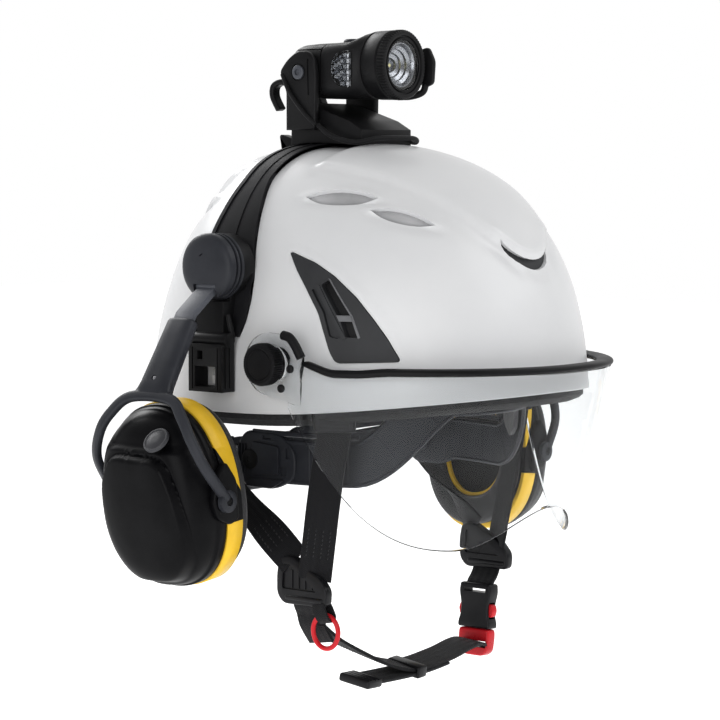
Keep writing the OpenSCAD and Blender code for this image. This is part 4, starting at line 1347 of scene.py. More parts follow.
def build_lamp_base():
    base = from_cad("lamp_base", "lamp_mount", 1.0, 3, 35)
    piece(base, "helmet", LAMP, "lamp_black", "lamp_base")
    for side, word in SIDES:
        plate = extrude("plate", rounded_outline(CHEEK, 3.4), 3.9, side_plane(27.2), side)
        bevel(plate, 1.1, 3)
        well = lathe("well", [(-1.1, 5.4), (4, 5.4)], (side * 31.1, LAMP_PIVOT[1], LAMP_PIVOT[2]),
                     (side, 0, 0))
        slit = extrude("slit", rounded_outline([(13, 186), (14.4, 186), (15.2, 208), (13.8, 208)], 0.6),
                       3, side_plane(30.3), side)
        carve(plate, well, slit)
        piece(plate, "helmet", LAMP, "lamp_black")
        plate.name = "lamp_cheek_" + word
        screw = lathe("lamp_screw_" + word, [(-8, 0), (-8, 2.4), (-0.9, 2.4), (-0.7, 4.3), (0.8, 4.3),
                                             (1.2, 3.8), (1.25, 1.9), (0.3, 1.8), (0.3, 0)],
                      (side * 31.0, LAMP_PIVOT[1], LAMP_PIVOT[2]), (side, 0, 0), count=48)
        piece(screw, "helmet", SLIDER, "pin_steel", *once(side, "lamp_pivots"))
        hook = strap("lamp_hook_" + word, catmull([(21, 33, 190), (22, 40, 194.5), (22, 47.5, 192.5),
                                                   (22, 48.5, 186), (21.5, 44, 177.5)], 8), (1, 0, 0),
                     7.5, 3.4, side)
        bevel(hook, 0.9, 3)
        piece(hook, "helmet", LAMP, "lamp_black")
        foot = extrude("foot", rounded_outline([(36, 160), (46, 163), (43, 147), (34, 131), (28, 139),
                                                (26, 158)], 3), 7, side_plane(14), side)
        arch = lathe("arch", [(-1, 5), (9, 5)], (side * 14, 33.5, 141), (side, 0, 0))
        carve(foot, arch)
        bevel(foot, 1.0, 3)
        foot.name = "lamp_foot_" + word
        piece(foot, "helmet", LAMP, "lamp_black")
    half = [(29, 8.2, 168), (30, -4, 161), (29, -21, 157.5), (16, -29.5, 160)]
    path = catmull([(-x, y, z) for x, y, z in half] + half[::-1], 9)
    loop = tube("lamp_band_loop", path, 1.5, sides=14)
    cable = []
    for side in (LEFT, RIGHT):
        run = catmull([(side * 30.8, 35, 199), (side * 32.4, 28, 188), (side * 32.6, 17, 176),
                       (side * 31, 8.2, 168)], 8)
        cable.append(tube("cable", run, 1.25, sides=12))
    piece(join("lamp_elastic_loop", [loop] + cable), "helmet", ELASTIC, "elastic_black", "lamp_elastic")


def lamp_section(y, width, height, power, z, count=96):
    p = superellipse(width, height, power, count)
    return np.stack([p[:, 0], np.full(count, float(y)), z + p[:, 1]], -1)


def build_lamp_body():
    rows = [(34.0, 40, 24, 4.0, 200.5), (33.6, 44, 28, 4.0, 200.6), (32.0, 47.5, 31, 4.2, 200.8),
            (28, 50, 32.6, 4.4, 201), (18, 51.5, 33.6, 4.6, 201), (4, 51.8, 34, 4.6, 201),
            (-7, 50.4, 35.0, 4.0, 201.3), (-11, 48.0, 37.4, 3.4, 202.3),
            (-14.5, 44.6, 39.8, 2.7, 203.4), (-17.4, 41.6, 41.2, 2.2, 204),
            (-17.8, 40.6, 40.4, 2.0, 204), (-17.9, 35.6, 35.6, 2.0, 204), (-26, 35.6, 35.6, 2.0, 204)]
    body = loft("lamp_case", [lamp_section(*row) for row in rows], smooth_angle=50)
    cuts = [lathe("well", [(-3.8, 15), (4, 15)], (0, -29.8, LAMP_Z), (0, -1, 0)),
            lathe("bore", [(-8, 11), (4, 11)], (0, -28, LAMP_Z), (0, -1, 0)),
            lathe("key", [(-8, 6.3), (12, 6.3)], (0, 4, 218), (0, 0, 1))]
    for side, _ in SIDES:
        cuts.append(lathe("hole", [(-6, 2.6), (9, 2.6)], (side * 26, LAMP_PIVOT[1], LAMP_PIVOT[2]),
                          (side, 0, 0)))
        window = extrude("w", rounded_outline([(-13.4, 190), (-13.4, 213), (-5, 211.5), (-0.5, 206),
                                               (-0.5, 197), (-5, 191.5)], 1.5), 8, side_plane(22.8),
                         side)
        cuts.append(window)
        for z in (188.6, 213.8):
            cuts.append(block("seam", (20, 9.5, z - 0.35), (30, 31, z + 0.35), side))
    cuts.append(block("seam", (-30, 8.6, 180), (30, 9.3, 222)))
    shell = from_seam(body, cuts)
    piece(shell, "lamp_head", LAMP, "lamp_black", "lamp_body")
    flap = extrude("flap", rounded_outline([(-38.5, 193), (-30, 190), (-28.5, 214), (-35, 215.5),
                                            (-39.5, 207)], 2.5), 2.8, side_plane(24.0))
    bevel(flap, 0.8, 3)
    prop = tube("prop", catmull([(25.2, -32.5, 193), (25, -30, 188), (21, -23, 185.5), (17, -14, 186)],
                                8), 2.1, sides=14)
    piece(join("lamp_flap", [flap, prop]), "lamp_head", LAMP, "lamp_black")
    windows = []
    for side, word in SIDES:
        facets = []
        for i, y in enumerate(np.arange(-13.0, -1.2, 2.3)):
            half = 10.6 - max(0, i - 2) * 2.2
            for k, z in enumerate(np.arange(-half, half - 1, 3.4)):
                lean = 0.55 if (i + k) % 2 else -0.55
                quad = [(23.5, y, 201.5 + z), (23.5, y + 2.3, 201.5 + z),
                        (23.5, y + 2.3, 201.5 + z + 3.4), (23.5, y, 201.5 + z + 3.4)]
                peak = [(25.0 + lean, y + 0.6, 201.5 + z + 0.8),
                        (25.0 - lean, y + 1.7, 201.5 + z + 0.8),
                        (25.0 - lean, y + 1.7, 201.5 + z + 2.6),
                        (25.0 + lean, y + 0.6, 201.5 + z + 2.6)]
                facets.append(mesh("facet", quad + peak, [(0, 1, 2, 3), (7, 6, 5, 4), (0, 4, 5, 1),
                                                          (1, 5, 6, 2), (2, 6, 7, 3), (3, 7, 4, 0)],
                                   side, smooth_angle=5))
        windows += facets
    facets = join("lamp_side_reflectors", windows)
    outward(facets)
    piece(facets, "lamp_head", DISH, "lamp_silver", "lamp_windows")
    for side, word in SIDES:
        pane = [(-13.2, 190.2), (-13.2, 212.8), (-5, 211.3), (-0.7, 205.9), (-0.7, 197.1), (-5, 191.7)]
        cover = extrude("lamp_window_" + word, rounded_outline(pane, 1.4), 0.9, side_plane(25.9), side)
        piece(cover, "lamp_head", GLASS, "lamp_clear")
    reflector = [(-24.0, 2.2), (-24.3, 4.4), (-25.2, 4.5), (-25.8, 6.6), (-26.9, 6.8), (-27.8, 9.0),
                 (-29.1, 9.2), (-30.2, 11.2), (-31.6, 11.6), (-32.6, 12.6), (-32.6, 13.2),
                 (-29.0, 11.6), (-26.4, 9.0), (-24.6, 6.2), (-23.2, 3.6), (-23.2, 2.2)]
    dish = lathe("lamp_reflector", [(-y, r) for y, r in reflector[::-1]], (0, 0, LAMP_Z), (0, -1, 0),
                 count=72)
    piece(dish, "lamp_ring", DISH, "lamp_silver")
    chip = lathe("lamp_chip", [(22.4, 0), (22.4, 2.6), (24.3, 2.6), (24.4, 1.9), (25.4, 1.5),
                               (25.9, 0.7), (26.0, 0)], (0, 0, LAMP_Z), (0, -1, 0), count=40)
    piece(chip, "lamp_head", CHIP, "lamp_silver")
    key = lathe("lamp_key", [(209.5, 0), (209.5, 5.9), (219.2, 5.9), (220.1, 5.4), (220.5, 4.6),
                             (220.2, 3.6), (220.0, 0)], (0, 4, 0), (0, 0, 1), count=56)
    piece(key, "lamp_switch", GRAPHITE, "lamp_black", "lamp_button")


def build_lamp_bezel():
    teeth, per = 64, 5
    a = turns(teeth * per)
    tooth = np.clip(1.6 * np.cos(a * teeth), -1, 1) * 0.5 + 0.5
    levels = [(18.3, 18.3, 0), (18.1, 20.4, 0), (18.9, 20.8, 0), (28.8, 21.0, 0), (29.4, 20.2, 0),
              (30.2, 20.2, 0), (30.7, 21.2, 1), (34.6, 21.2, 1), (35.4, 20.8, 0.5), (35.9, 20.0, 0),
              (36.0, 18.6, 0), (35.7, 17.8, 0), (34.6, 17.4, 0), (34.4, 16.5, 0), (35.3, 16.1, 0),
              (35.2, 15.2, 0), (33.2, 15.05, 0), (33.1, 13.4, 0), (26.8, 13.4, 0), (26.6, 18.1, 0)]
    rings = []
    for h, r, k in levels:
        rr = r - 0.85 * k * (1 - tooth)
        rings.append(np.stack([rr * np.cos(a), np.full(len(a), -h), LAMP_Z + rr * np.sin(a)], -1))
    ring = loft("lamp_bezel_ring", rings, closed=True, smooth_angle=38)
    piece(ring, "lamp_ring", LAMP, "lamp_black", "lamp_bezel")
    glass = lathe("lamp_glass", [(33.3, 0), (33.3, 14.9), (34.6, 14.9), (35.0, 14.0), (35.4, 9),
                                 (35.6, 4), (35.7, 0)], (0, 0, LAMP_Z), (0, -1, 0), count=72)
    piece(glass, "lamp_ring", GLASS, "lamp_clear", "lamp_lens")


# ---------------------------------------------------------------- straps and buckles
ANCHOR_FRONT_U, ANCHOR_REAR_U = 50.0, 112.0
WEB_WIDTH, UPPER_THICK, LOWER_THICK = 20, 1.6, 1.8
SEAM_ROWS = (-6.5, -2.2, 2.2, 6.5)
STITCH_PITCH = 2.6
DIV = np.array([90.0, -33.0, -99.0])
RING = joint_point("ring_swing")
RING_R = 9.6
BUCKLE = np.array([79.0, -35.0, -121.5])
BUCKLE_TIP = math.radians(4.5)


def anchor_point(u_deg, z):
    u = math.radians(u_deg)
    inside = -SHELL_T - LINER_T / 2
    angle = angle_at(u, -2.0, inside)
    p = dome(u, angle, inside)
    return np.array([p[0], p[1], float(rim_height(u)) + z])


def anchor_frame(u_deg):
    """The frame of a strap anchor, local +X along the shell's outward direction."""
    turn = math.radians(u_deg - 90 + (-4 if u_deg > 90 else 6))
    c, s = math.cos(turn), math.sin(turn)
    return placed(anchor_point(u_deg, -4), (c, s, 0), (-s, c, 0))


def stitches(name, path, across, rows, start, end, side, thick=1.6):
    """Raised thread in short slanted stitches over a stretch of webbing."""
    path = np.asarray(path, float)
    wide, flat = frames_along(path, across)
    length = distances_along(path)
    out = []
    for s in np.arange(start, end, STITCH_PITCH):
        t = np.array([np.interp(s, length, path[:, i]) for i in range(3)])
        w = unit(np.array([np.interp(s, length, wide[:, i]) for i in range(3)]))
        f = unit(np.array([np.interp(s, length, flat[:, i]) for i in range(3)]))
        for row in rows:
            for face in (-1, 1):
                centre = t + w * row + f * face * (thick / 2 + 0.1)
                run = unit(np.cross(w, f)) * 0.95 + w * 0.22
                out.append(tube("stitch", [centre - run - f * face * 0.25, centre - run * 0.4,
                                           centre + run * 0.4, centre + run - f * face * 0.25],
                                [0.18, 0.32, 0.32, 0.18], side, sides=6))
    return join(name, out)


def build_straps():
    for side, word in SIDES:
        build_side_straps(side, word)
    build_ring_side()
    build_buckle()
    build_chin()


def build_side_straps(side, word):
    nodes = {"front": "front_straps", "rear": "rear_straps"}
    for which, u, across, offset, drop in (("front", ANCHOR_FRONT_U, (0.45, 0.9, 0.1), -7.0, 1.5),
                                           ("rear", ANCHOR_REAR_U, (-0.1, 0.8, 0.55), 8.5, 11.0)):
        a, b = anchor_point(u, 3.5), anchor_point(u, -12)
        d = DIV + (0, offset, drop)
        mid = lerp(b, d, 0.5) + (1.5, 0, 0)
        sag = (1.2, 0, -1.0) if which == "rear" else (0.6, 0, 0)
        path = catmull([a, b, lerp(b, mid, 0.5) + sag, mid, lerp(mid, d, 0.5), d], 9)
        if which == "rear":
            turn = smooth((np.linspace(0, 1, len(path)) - 0.62) / 0.38)[:, None]
            across = lerp(np.array((0.85, 0.12, -0.05)), np.array((0.3, 0.85, -0.3)), turn)
        web = strap(f"web_{which}_{word}", path, across, WEB_WIDTH, UPPER_THICK, side, crown=0.15)
        piece(web, "helmet", WEB, "webbing_black", *once(side, nodes[which]))
        length = float(np.sum(np.linalg.norm(np.diff(path, axis=0), axis=1)))
        seam = stitches(f"seam_{which}_{word}", path, across, SEAM_ROWS, length - 30, length - 14, side)
        piece(seam, "helmet", THREAD, "webbing_black")
        hem = anchor_hem(f"anchor_{which}_{word}", u, side)
        names = ["strap_anchors"] if side == LEFT and which == "front" else []
        piece(hem, "helmet", BUCKLE_BLACK, "buckle_black", *names)
    build_divider(side, word)


def anchor_hem(name, u, side):
    """Plastic anchor that the webbing hangs from, pushed into the liner's edge."""
    body = block("body", (-4, -12, -9), (4, 12, 11))
    bevel(body, 1.4, 3)
    slot = block("slot", (-1.3, -10.5, -12), (1.3, 10.5, 6))
    carve(body, slot)
    bar = block("bar", (-4.4, -9, -6.5), (4.4, 9, -3.5))
    bevel(bar, 0.7, 2)
    cut = block("slot", (-1.3, -10.5, -12), (1.3, 10.5, 6))
    carve(bar, cut)
    return flip(moved(join(name, [body, bar]), anchor_frame(u)), side)


def build_divider(side, word):
    """Adjuster where the two straps meet, with a sunk triangle on its face."""
    outline = rounded_outline([(20, 3), (18, 13), (9, 14.5), (-12, 3.5), (-18.5, -4), (-17.5, -14),
                               (15, -14.5), (20, -9)], 3.4)
    body = extrude("divider_" + word, outline, 6.4, placed(DIV - (3.2, 0, 0), (0, 1, 0), (0, 0, 1)))
    bevel(body, 1.3, 3)
    sunk = rounded_outline([(14.5, 9.5), (15.5, -5.5), (-11, -5.5), (8, 9)], 1.6)
    for x in (2.0, -3.4):
        carve(body, extrude("sunk", sunk, 1.4, placed(DIV + (x, 0, 0), (0, 1, 0), (0, 0, 1))))
    bar = block("bar", DIV + (-4.0, -15.5, -11.8), DIV + (4.0, 13, -8.8))
    bevel(bar, 1.0, 3)
    ridge = []
    for k in range(4):
        ridge.append(block("rib", DIV + (1.6, -7 + 5 * k, -4.6),
                           DIV + (2.6, -5.6 + 5 * k, 0.5 + 1.8 * k)))
    whole = join("strap_divider_" + word, [body, bar] + ridge)
    piece(flip(whole, side), "helmet", BUCKLE_BLACK, "buckle_black", *once(side, "strap_dividers"))


def build_ring_side():
    """Near side: the short strap, the tab and the red utility ring."""
    lower = catmull([(-90, -33, -107), (-89, -33.5, -114), (-87, -34, -119), (-85.2, -35, -126.5),
                     (-80, -37, -136)], 8)
    piece(strap("web_lower_right", lower, (0, 1, 0), WEB_WIDTH, LOWER_THICK, crown=0.15), "helmet", WEB,
          "webbing_black")
    seam = stitches("seam_lower_right", lower, (0, 1, 0), (-7, 7), 6, 16, LEFT, LOWER_THICK)
    piece(seam, "helmet", THREAD, "webbing_black")
    loop = catmull([(-91.5, -44, -108), (-93.5, -46.5, -114), (-93.2, -49, -119.5),
                    (-90, -49.5, -121.6), (-87, -49, -119.5), (-87, -46.5, -114), (-88.5, -44, -108)],
                   6)
    tab = strap("ring_tab", loop, (0, 1, -0.2), 9, 1.2)
    piece(tab, "helmet", WEB, "webbing_black")
    angles = np.linspace(0, 2 * np.pi, 72, endpoint=False)
    path = [(RING[0], RING[1] + 9.4 * math.cos(t), RING[2] - RING_R + (9.6 if math.sin(t) > 0 else 10.2)
             * math.sin(t)) for t in angles]
    ring = tube("ring_red", path, 1.45, closed=True, sides=18)
    piece(ring, "utility_ring", RED, "red_plastic", "red_ring")


def build_buckle():
    """Far side: strap loop, socket with two red side buttons, and the red tongue."""
    m = turned(BUCKLE, BUCKLE_TIP)
    web = catmull([(90, -33, -108), (88.5, -33.5, -113.5), (85, -34.2, -117.5), (80.5, -35, -121),
                   (79.5, -35, -124)], 8)
    piece(strap("web_lower_left", web, (0, 1, 0), WEB_WIDTH, LOWER_THICK, crown=0.15), "helmet", WEB,
          "webbing_black")
    waist = rounded_outline([(-11.6, 0), (11.6, 0), (12.2, -6), (11.0, -11), (10.3, -15), (10.8, -21),
                             (12.2, -25), (12.2, -28.4), (-12.2, -28.4), (-12.2, -25), (-10.8, -21),
                             (-10.3, -15), (-11.0, -11), (-12.2, -6)], 2.0)
    body = extrude("socket", waist, 9.6, side_plane(-4.8))
    bevel(body, 1.4, 3)
    cuts = [block("mouth", (-3.4, -8.8, -40), (3.4, 8.8, -8)),
            block("eye", (-6, -8.4, -5.6), (6, 8.4, -3.2))]
    for s in (-1, 1):
        cuts.append(block("port", (-2.9, s * 11 - 4.2, -22.2), (2.9, s * 11 + 4.2, -11.8)))
    from_seam(body, cuts)
    dip = extrude("dip", rounded_outline([(-5, -9), (5, -9), (6, -24), (-6, -24)], 2), 1.2,
                  side_plane(4.2))
    carve(body, dip)
    moved(body, m)
    body.name = "buckle_case"
    piece(body, "helmet", BUCKLE_BLACK, "buckle_black", "buckle_socket")
    for s, which in ((-1, "front"), (1, "rear")):
        outline = rounded_outline([(s * 9.2, -12.6), (s * 12.3, -13.2), (s * 13.4, -17),
                                   (s * 12.3, -20.8), (s * 9.2, -21.4)], 1.1)
        button = extrude("buckle_key_" + which, outline, 5.0, side_plane(-2.5))
        outward(button)
        bevel(button, 0.6, 2)
        moved(button, m)
        piece(button, "button_" + which, RED, "red_plastic", "buckle_button_" + which)
    outline = rounded_outline([(-11.4, -28.8), (11.4, -28.8), (11.8, -34), (10.9, -43), (7, -46),
                               (-7, -46), (-10.9, -43), (-11.8, -34)], 2.6)
    tongue = extrude("tongue", outline, 8.6, side_plane(-4.3))
    bevel(tongue, 1.4, 3)
    slot = block("eye", (-6, -10.1, -40.5), (6, 10.1, -36.4))
    carve(tongue, slot)
    prongs = []
    for s in (-1, 1):
        prong = block("prong", (-1.5, s * 5.6 - 1.9, -29.2), (1.5, s * 5.6 + 1.9, -12.2))
        prongs.append(bevel(prong, 0.6, 2))
    tongue = join("buckle_tongue_red", [tongue] + prongs)
    moved(tongue, m)
    piece(tongue, "chin", RED, "red_plastic", "buckle_tongue")


def build_chin():
    """Chin strap with its keeper, free tail and end stop."""
    main = catmull([(-85.3, -35, -125.5), (-74, -38, -134), (-54, -42, -144.5), (-33, -44, -154),
                    (-8, -45, -160), (25, -44, -158.5), (50, -41, -156), (66, -37.4, -156.8),
                    (74.5, -35.4, -160.5)], 12)
    wide = np.array([lerp(np.array([0, 1.0, 0]), np.array([0.05, 0.97, 0.2]), math.sin(math.pi * t))
                     for t in np.linspace(0, 1, len(main))])
    web = strap("chin_web", main, wide, WEB_WIDTH, LOWER_THICK, crown=0.12)
    piece(web, "chin", WEB, "webbing_black", "chin_strap")
    tail = catmull([(22, -45, -160.9), (4, -45.6, -162.2), (-14, -46.4, -162.4), (-34, -48, -161.6),
                    (-56, -49.6, -160.4)], 8)
    piece(strap("chin_tail", tail, (0.03, 0.98, 0.16), 19, 1.6), "chin", WEB, "webbing_black")
    stop = block("chin_stop", (-7.5, -11, -2.6), (7.5, 11, 2.6))
    bevel(stop, 1.5, 3)
    for x in (-3.6, 0, 3.6):
        groove = block("g", (x - 0.5, -12, 2.0), (x + 0.5, 12, 4))
        carve(stop, groove)
    moved(stop, placed((-59.5, -49.9, -160.3), (1, 0.07, -0.05), (0.05, 1, 0.14)))
    piece(stop, "chin", BUCKLE_BLACK, "buckle_black")
    keeper = block("chin_keeper", (-4.5, -12, -3.6), (4.5, 12, 3.6))
    bevel(keeper, 1.1, 3)
    hollow = block("h", (-8, -10.6, -2.3), (8, 10.6, 2.3))
    carve(keeper, hollow)
    moved(keeper, placed((-9, -45.4, -161.0), (1, 0.03, 0.04), (0, 0.98, 0.16)))
    piece(keeper, "chin", BUCKLE_BLACK, "buckle_black")
    seam = stitches("seam_chin", main, wide, SEAM_ROWS, 28, 42, LEFT, LOWER_THICK)
    piece(seam, "chin", THREAD, "webbing_black")


# ---------------------------------------------------------------- liner, headband and nape
NAPE = joint_point("nape_tilt")
DIAL = joint_point("dial_turn")
TEMPLE_Y, TEMPLE_Z = NAPE[1], NAPE[2]


def band_point(u, z, grow=0.0):
    """A point of the oval round the head, u in degrees from the front."""
    a = math.radians(u)
    reach = 112.0 if abs(u) < 90 else 96.0
    return np.array([(83 + grow) * math.sin(a), 2 - (reach + grow) * math.cos(a), z])


def band_height(u):
    return lerp(TEMPLE_Z, 11, float(smooth((60 - abs(u)) / 36)))


def nape_point(u, grow=0.0):
    k = max(math.sin(math.radians((u - 98) * 180 / 164)), 0) ** 1.3
    a = math.radians(u)
    return np.array([(78 + grow) * math.sin(a), 2 - (97 + grow) * math.cos(a), lerp(TEMPLE_Z, -50, k)])


def build_inside():
    liner = dome_shell("impact_foam", -SHELL_T - 0.7, -SHELL_T - LINER_T, -4, 200, 60, False)
    slots = []
    for side, _ in SIDES:
        for u in (ANCHOR_FRONT_U, ANCHOR_REAR_U):
            slots.append(flip(moved(block("slot", (-5, -13, -30), (5, 13, 12)), anchor_frame(u)), side))
        slots.append(lathe("pivot", [(-20, 8), (22, 8)], (side * 98, VISOR_Y, VISOR_Z), (side, 0, 0)))
        for i, (matrix, length, width) in enumerate(VENT_FRAMES):
            slots.append(vent_prism(f"v{i}", matrix, lens_outline(length * 0.8, width * 0.8), side, -60,
                                    20))
    for x in (-46, 0, 46):
        slots.append(lathe("vent", [(-60, 6.5), (30, 6.5)], (x, 92, 92), (0, 0.5, 0.86)))
    from_seam(liner, slots)
    piece(liner, "helmet", LINER, "liner_black", "impact_liner")
    build_headband()
    build_pads()
    build_nape()


def ribbed_band(name, points, width, thick, ribs):
    """A moulded band with a raised rim and shallow cross ribs."""
    band = strap(name, points, (0, 0, 1), width, thick)
    extras = []
    w, _ = frames_along(np.asarray(points, float), (0, 0, 1))
    for sign in (-1, 1):
        path = np.asarray(points) + w * sign * (width / 2 - 1.2)
        extras.append(tube("rim", path, 1.5, sides=10))
    for i in ribs:
        path = [points[i] + w[i] * t for t in np.linspace(-width / 2 + 2, width / 2 - 2, 5)]
        extras.append(tube("rib", path, 1.35, sides=8))
    return join(name, [band] + extras)


def temple_plate(side):
    """Rounded ribbed plate of the headband over the temple pin, and the thin rail above the band."""
    def plate(name, outline, low, high, radius=4.0):
        return extrude(name, rounded_outline(outline, radius), high - low,
                       placed((low, TEMPLE_Y, TEMPLE_Z), (0, 1, 0), (0, 0, 1)))

    base = plate("plate", [(-34, 7), (-21, 17), (5, 17), (11, 9), (11, -9), (5, -17), (-18, -17),
                           (-34, -10)], 81, 84.2, 6)
    bevel(base, 1.3, 3)
    panel = plate("panel", [(-22, 9), (-1, 11), (-1, -9), (-22, -8)], 84.0, 85.6, 2)
    bevel(panel, 0.7, 2)
    lip = plate("lip", [(-26, -11), (2, -12), (4, -16), (-17, -16.2)], 84.0, 85.4, 1.6)
    bevel(lip, 0.6, 2)
    cuts = [block("slot", (83.4, TEMPLE_Y + y - w, TEMPLE_Z + z - h),
                  (90, TEMPLE_Y + y + w, TEMPLE_Z + z + h)) for y, z, w, h in ((-25, -6, 2.2, 2.6),
                                                                               (-8, -13.4, 3.0, 1.3),
                                                                               (-12, 13.6, 3.4, 1.2),
                                                                               (-28.5, 5, 1.6, 3))]
    bores = [lathe("bore", [(70, 3.1), (95, 3.1)], (0, TEMPLE_Y, TEMPLE_Z), (1, 0, 0), count=32)
             for _ in range(2)]
    from_seam(base, cuts + bores[:1])
    ribs = [bevel(block("rib", (84.0, TEMPLE_Y + y, TEMPLE_Z - 8),
                        (85.2, TEMPLE_Y + y + 1.2, TEMPLE_Z + 9)), 0.4, 2)
            for y in (-19.5, -16.5, -13.5, 4.2, 6.6, 9.0)]
    from_seam(panel, bores[1:])
    rail = strap("rail", [band_point(u, TEMPLE_Z + 16.5) for u in np.linspace(58, 97, 16)], (0, 0, 1),
                 3.2, 2.0)
    return [flip(join("plate", [base, panel, lip, rail] + ribs), side)]


def build_headband():
    us = np.linspace(-96, 96, 90)
    points = np.array([band_point(u, band_height(u)) for u in us])
    band = ribbed_band("headband_strip", points, 26, 2.2, range(4, 88, 6))
    ears = []
    for side, word in SIDES:
        ears += temple_plate(side)
        pin = lathe("temple_pin_" + word, [(75.5, 0), (75.5, 2.9), (84.9, 2.9), (84.9, 6), (85.9, 6),
                                           (86.4, 5.2), (86.4, 2), (85.8, 1.8), (85.8, 0)],
                    (0, TEMPLE_Y, TEMPLE_Z), (side, 0, 0), count=40)
        piece(pin, "helmet", BLACK, "pin_steel", *once(side, "temple_pins"))
    piece(join("headband_ring", [band] + ears), "helmet", GRAPHITE, "band_graphite", "headband")


def pillow(name, path, across, width, thick, lumps):
    """A soft flat pad with rounded edges."""
    path = np.asarray(path, float)
    w, f = frames_along(path, across)
    n = 30
    a = 2 * np.pi * (np.arange(n) + 0.5) / n
    c, s = np.cos(a), np.sin(a)
    m = len(path)
    rings = []
    for i in range(m):
        t = i / (m - 1)
        end = min(1.0, (min(t, 1 - t) * m / 5.0)) ** 0.5 if 0 < i < m - 1 else 0.12
        half_w, half_t = width / 2 * (0.6 + 0.4 * end), thick / 2 * (0.35 + 0.65 * end)
        r = ((np.abs(c) / half_w) ** 3 + (np.abs(s) / half_t) ** 2.2) ** (-1 / 2.5)
        r = np.minimum(r, width / 2)
        bulge = 1 + lumps * math.sin(i * 0.9)
        rings.append(path[i] + np.outer(c * r, w[i]) + np.outer(s * r * bulge, f[i]))
    return loft(name, rings, smooth_angle=70)


def build_pads():
    us = np.linspace(-46, 46, 54)
    brow = np.array([band_point(u, band_height(u), -4.6) for u in us])
    pad = pillow("brow_pad", brow, (0, 0, 1), 27, 5.4, lumps=0.04)
    piece(pad, "helmet", FLEECE, "liner_black", "comfort_pads")
    runs = [("crown_pad_mid", [(0.0, y) for y in np.linspace(-60, 92, 50)], 22)]
    for side, word in SIDES:
        runs.append(("crown_pad_" + word, [(side * 42.0, y) for y in np.linspace(-44, 76, 44)], 17))
    for name, plan, width in runs:
        path = []
        for x, y in plan:
            z = float(drop_to_dome(x, y, -SHELL_T - LINER_T - 4.0))
            path.append((x * 0.98, y, z))
        path = np.array(path)
        pad = pillow(name, path, (1, 0, 0), width, 5.6, lumps=0.05)
        piece(pad, "helmet", FLEECE, "liner_black")


def build_nape():
    us = np.linspace(98, 262, 110)
    points = np.array([nape_point(u) for u in us])
    band = ribbed_band("cradle", points, 18, 2.2, range(5, 105, 5))
    parts = [band]
    upper_points = np.array([nape_point(u, 1.0) + (0, 0, 17 - 6 * abs(u - 180) / 82)
                             for u in np.linspace(112, 248, 80)])
    parts.append(strap("upper", upper_points, (0, 0, 1), 5, 1.8))
    for side, word in SIDES:
        parts.append(lathe("ear", [(76.8, 3.1), (76.8, 8.4), (77.3, 9), (79.8, 9), (80.3, 8.4),
                                   (80.3, 3.1)], (0, TEMPLE_Y, TEMPLE_Z), (side, 0, 0), count=48))
        parts += nape_wing(side)
    plate = extrude("plate", rounded_outline([(-50, -60), (-44, -66), (44, -66), (50, -60), (50, -42),
                                              (42, -36), (-42, -36), (-50, -42)], 5), 4.2,
                    front_plane(101.3))
    bevel(plate, 1.2, 3)
    housing = extrude("housing", rounded_outline([(-46, -57), (-38, -62), (38, -62), (46, -57),
                                                  (46, -45), (38, -40), (-38, -40), (-46, -45)], 5), 12,
                      front_plane(113))
    bevel(housing, 2.0, 4)
    cuts = [block("slot", (-60, 103.4, -57), (60, 107.4, -45)),
            lathe("bore", [(102, 8.4), (120, 8.4)], (0, 0, DIAL[2]), (0, 1, 0))]
    for x in (-36, -31, -26, 26, 31, 36):
        cuts.append(block("grip", (x - 1.1, 111.8, -58), (x + 1.1, 114, -44)))
    from_seam(housing, cuts)
    parts += [plate, housing]
    piece(join("nape_cradle_shell", parts), "nape", GRAPHITE, "band_graphite", "nape_cradle")
    pad_path = np.array([nape_point(u, -4.6) for u in np.linspace(150, 210, 44)])
    pad = pillow("nape_pad_soft", pad_path, (0, 0, 1), 22, 5.4, lumps=0.04)
    piece(pad, "nape", FLEECE, "liner_black", "nape_pad")
    build_dial()
    for side, word in SIDES:
        z0, z1 = (-47.6, -45.2) if side == LEFT else (-56.8, -54.4)
        low, high = (-6, 48) if side == LEFT else (-48, 6)
        rack = block("rack", (low, 103.7, z0), (high, 107.1, z1))
        teeth = [block("tooth", (x, 103.9, z0), (x + 1.1, 106.9, z1 + 0.5 if side == RIGHT else z1))
                 for x in np.arange(low + 1, high - 2, 2.2)]
        bevel(rack, 0.4, 2)
        piece(join("dial_rack_" + word, [rack] + teeth), "rack_" + word, BLACK, "band_graphite",
              "size_rack_" + word)


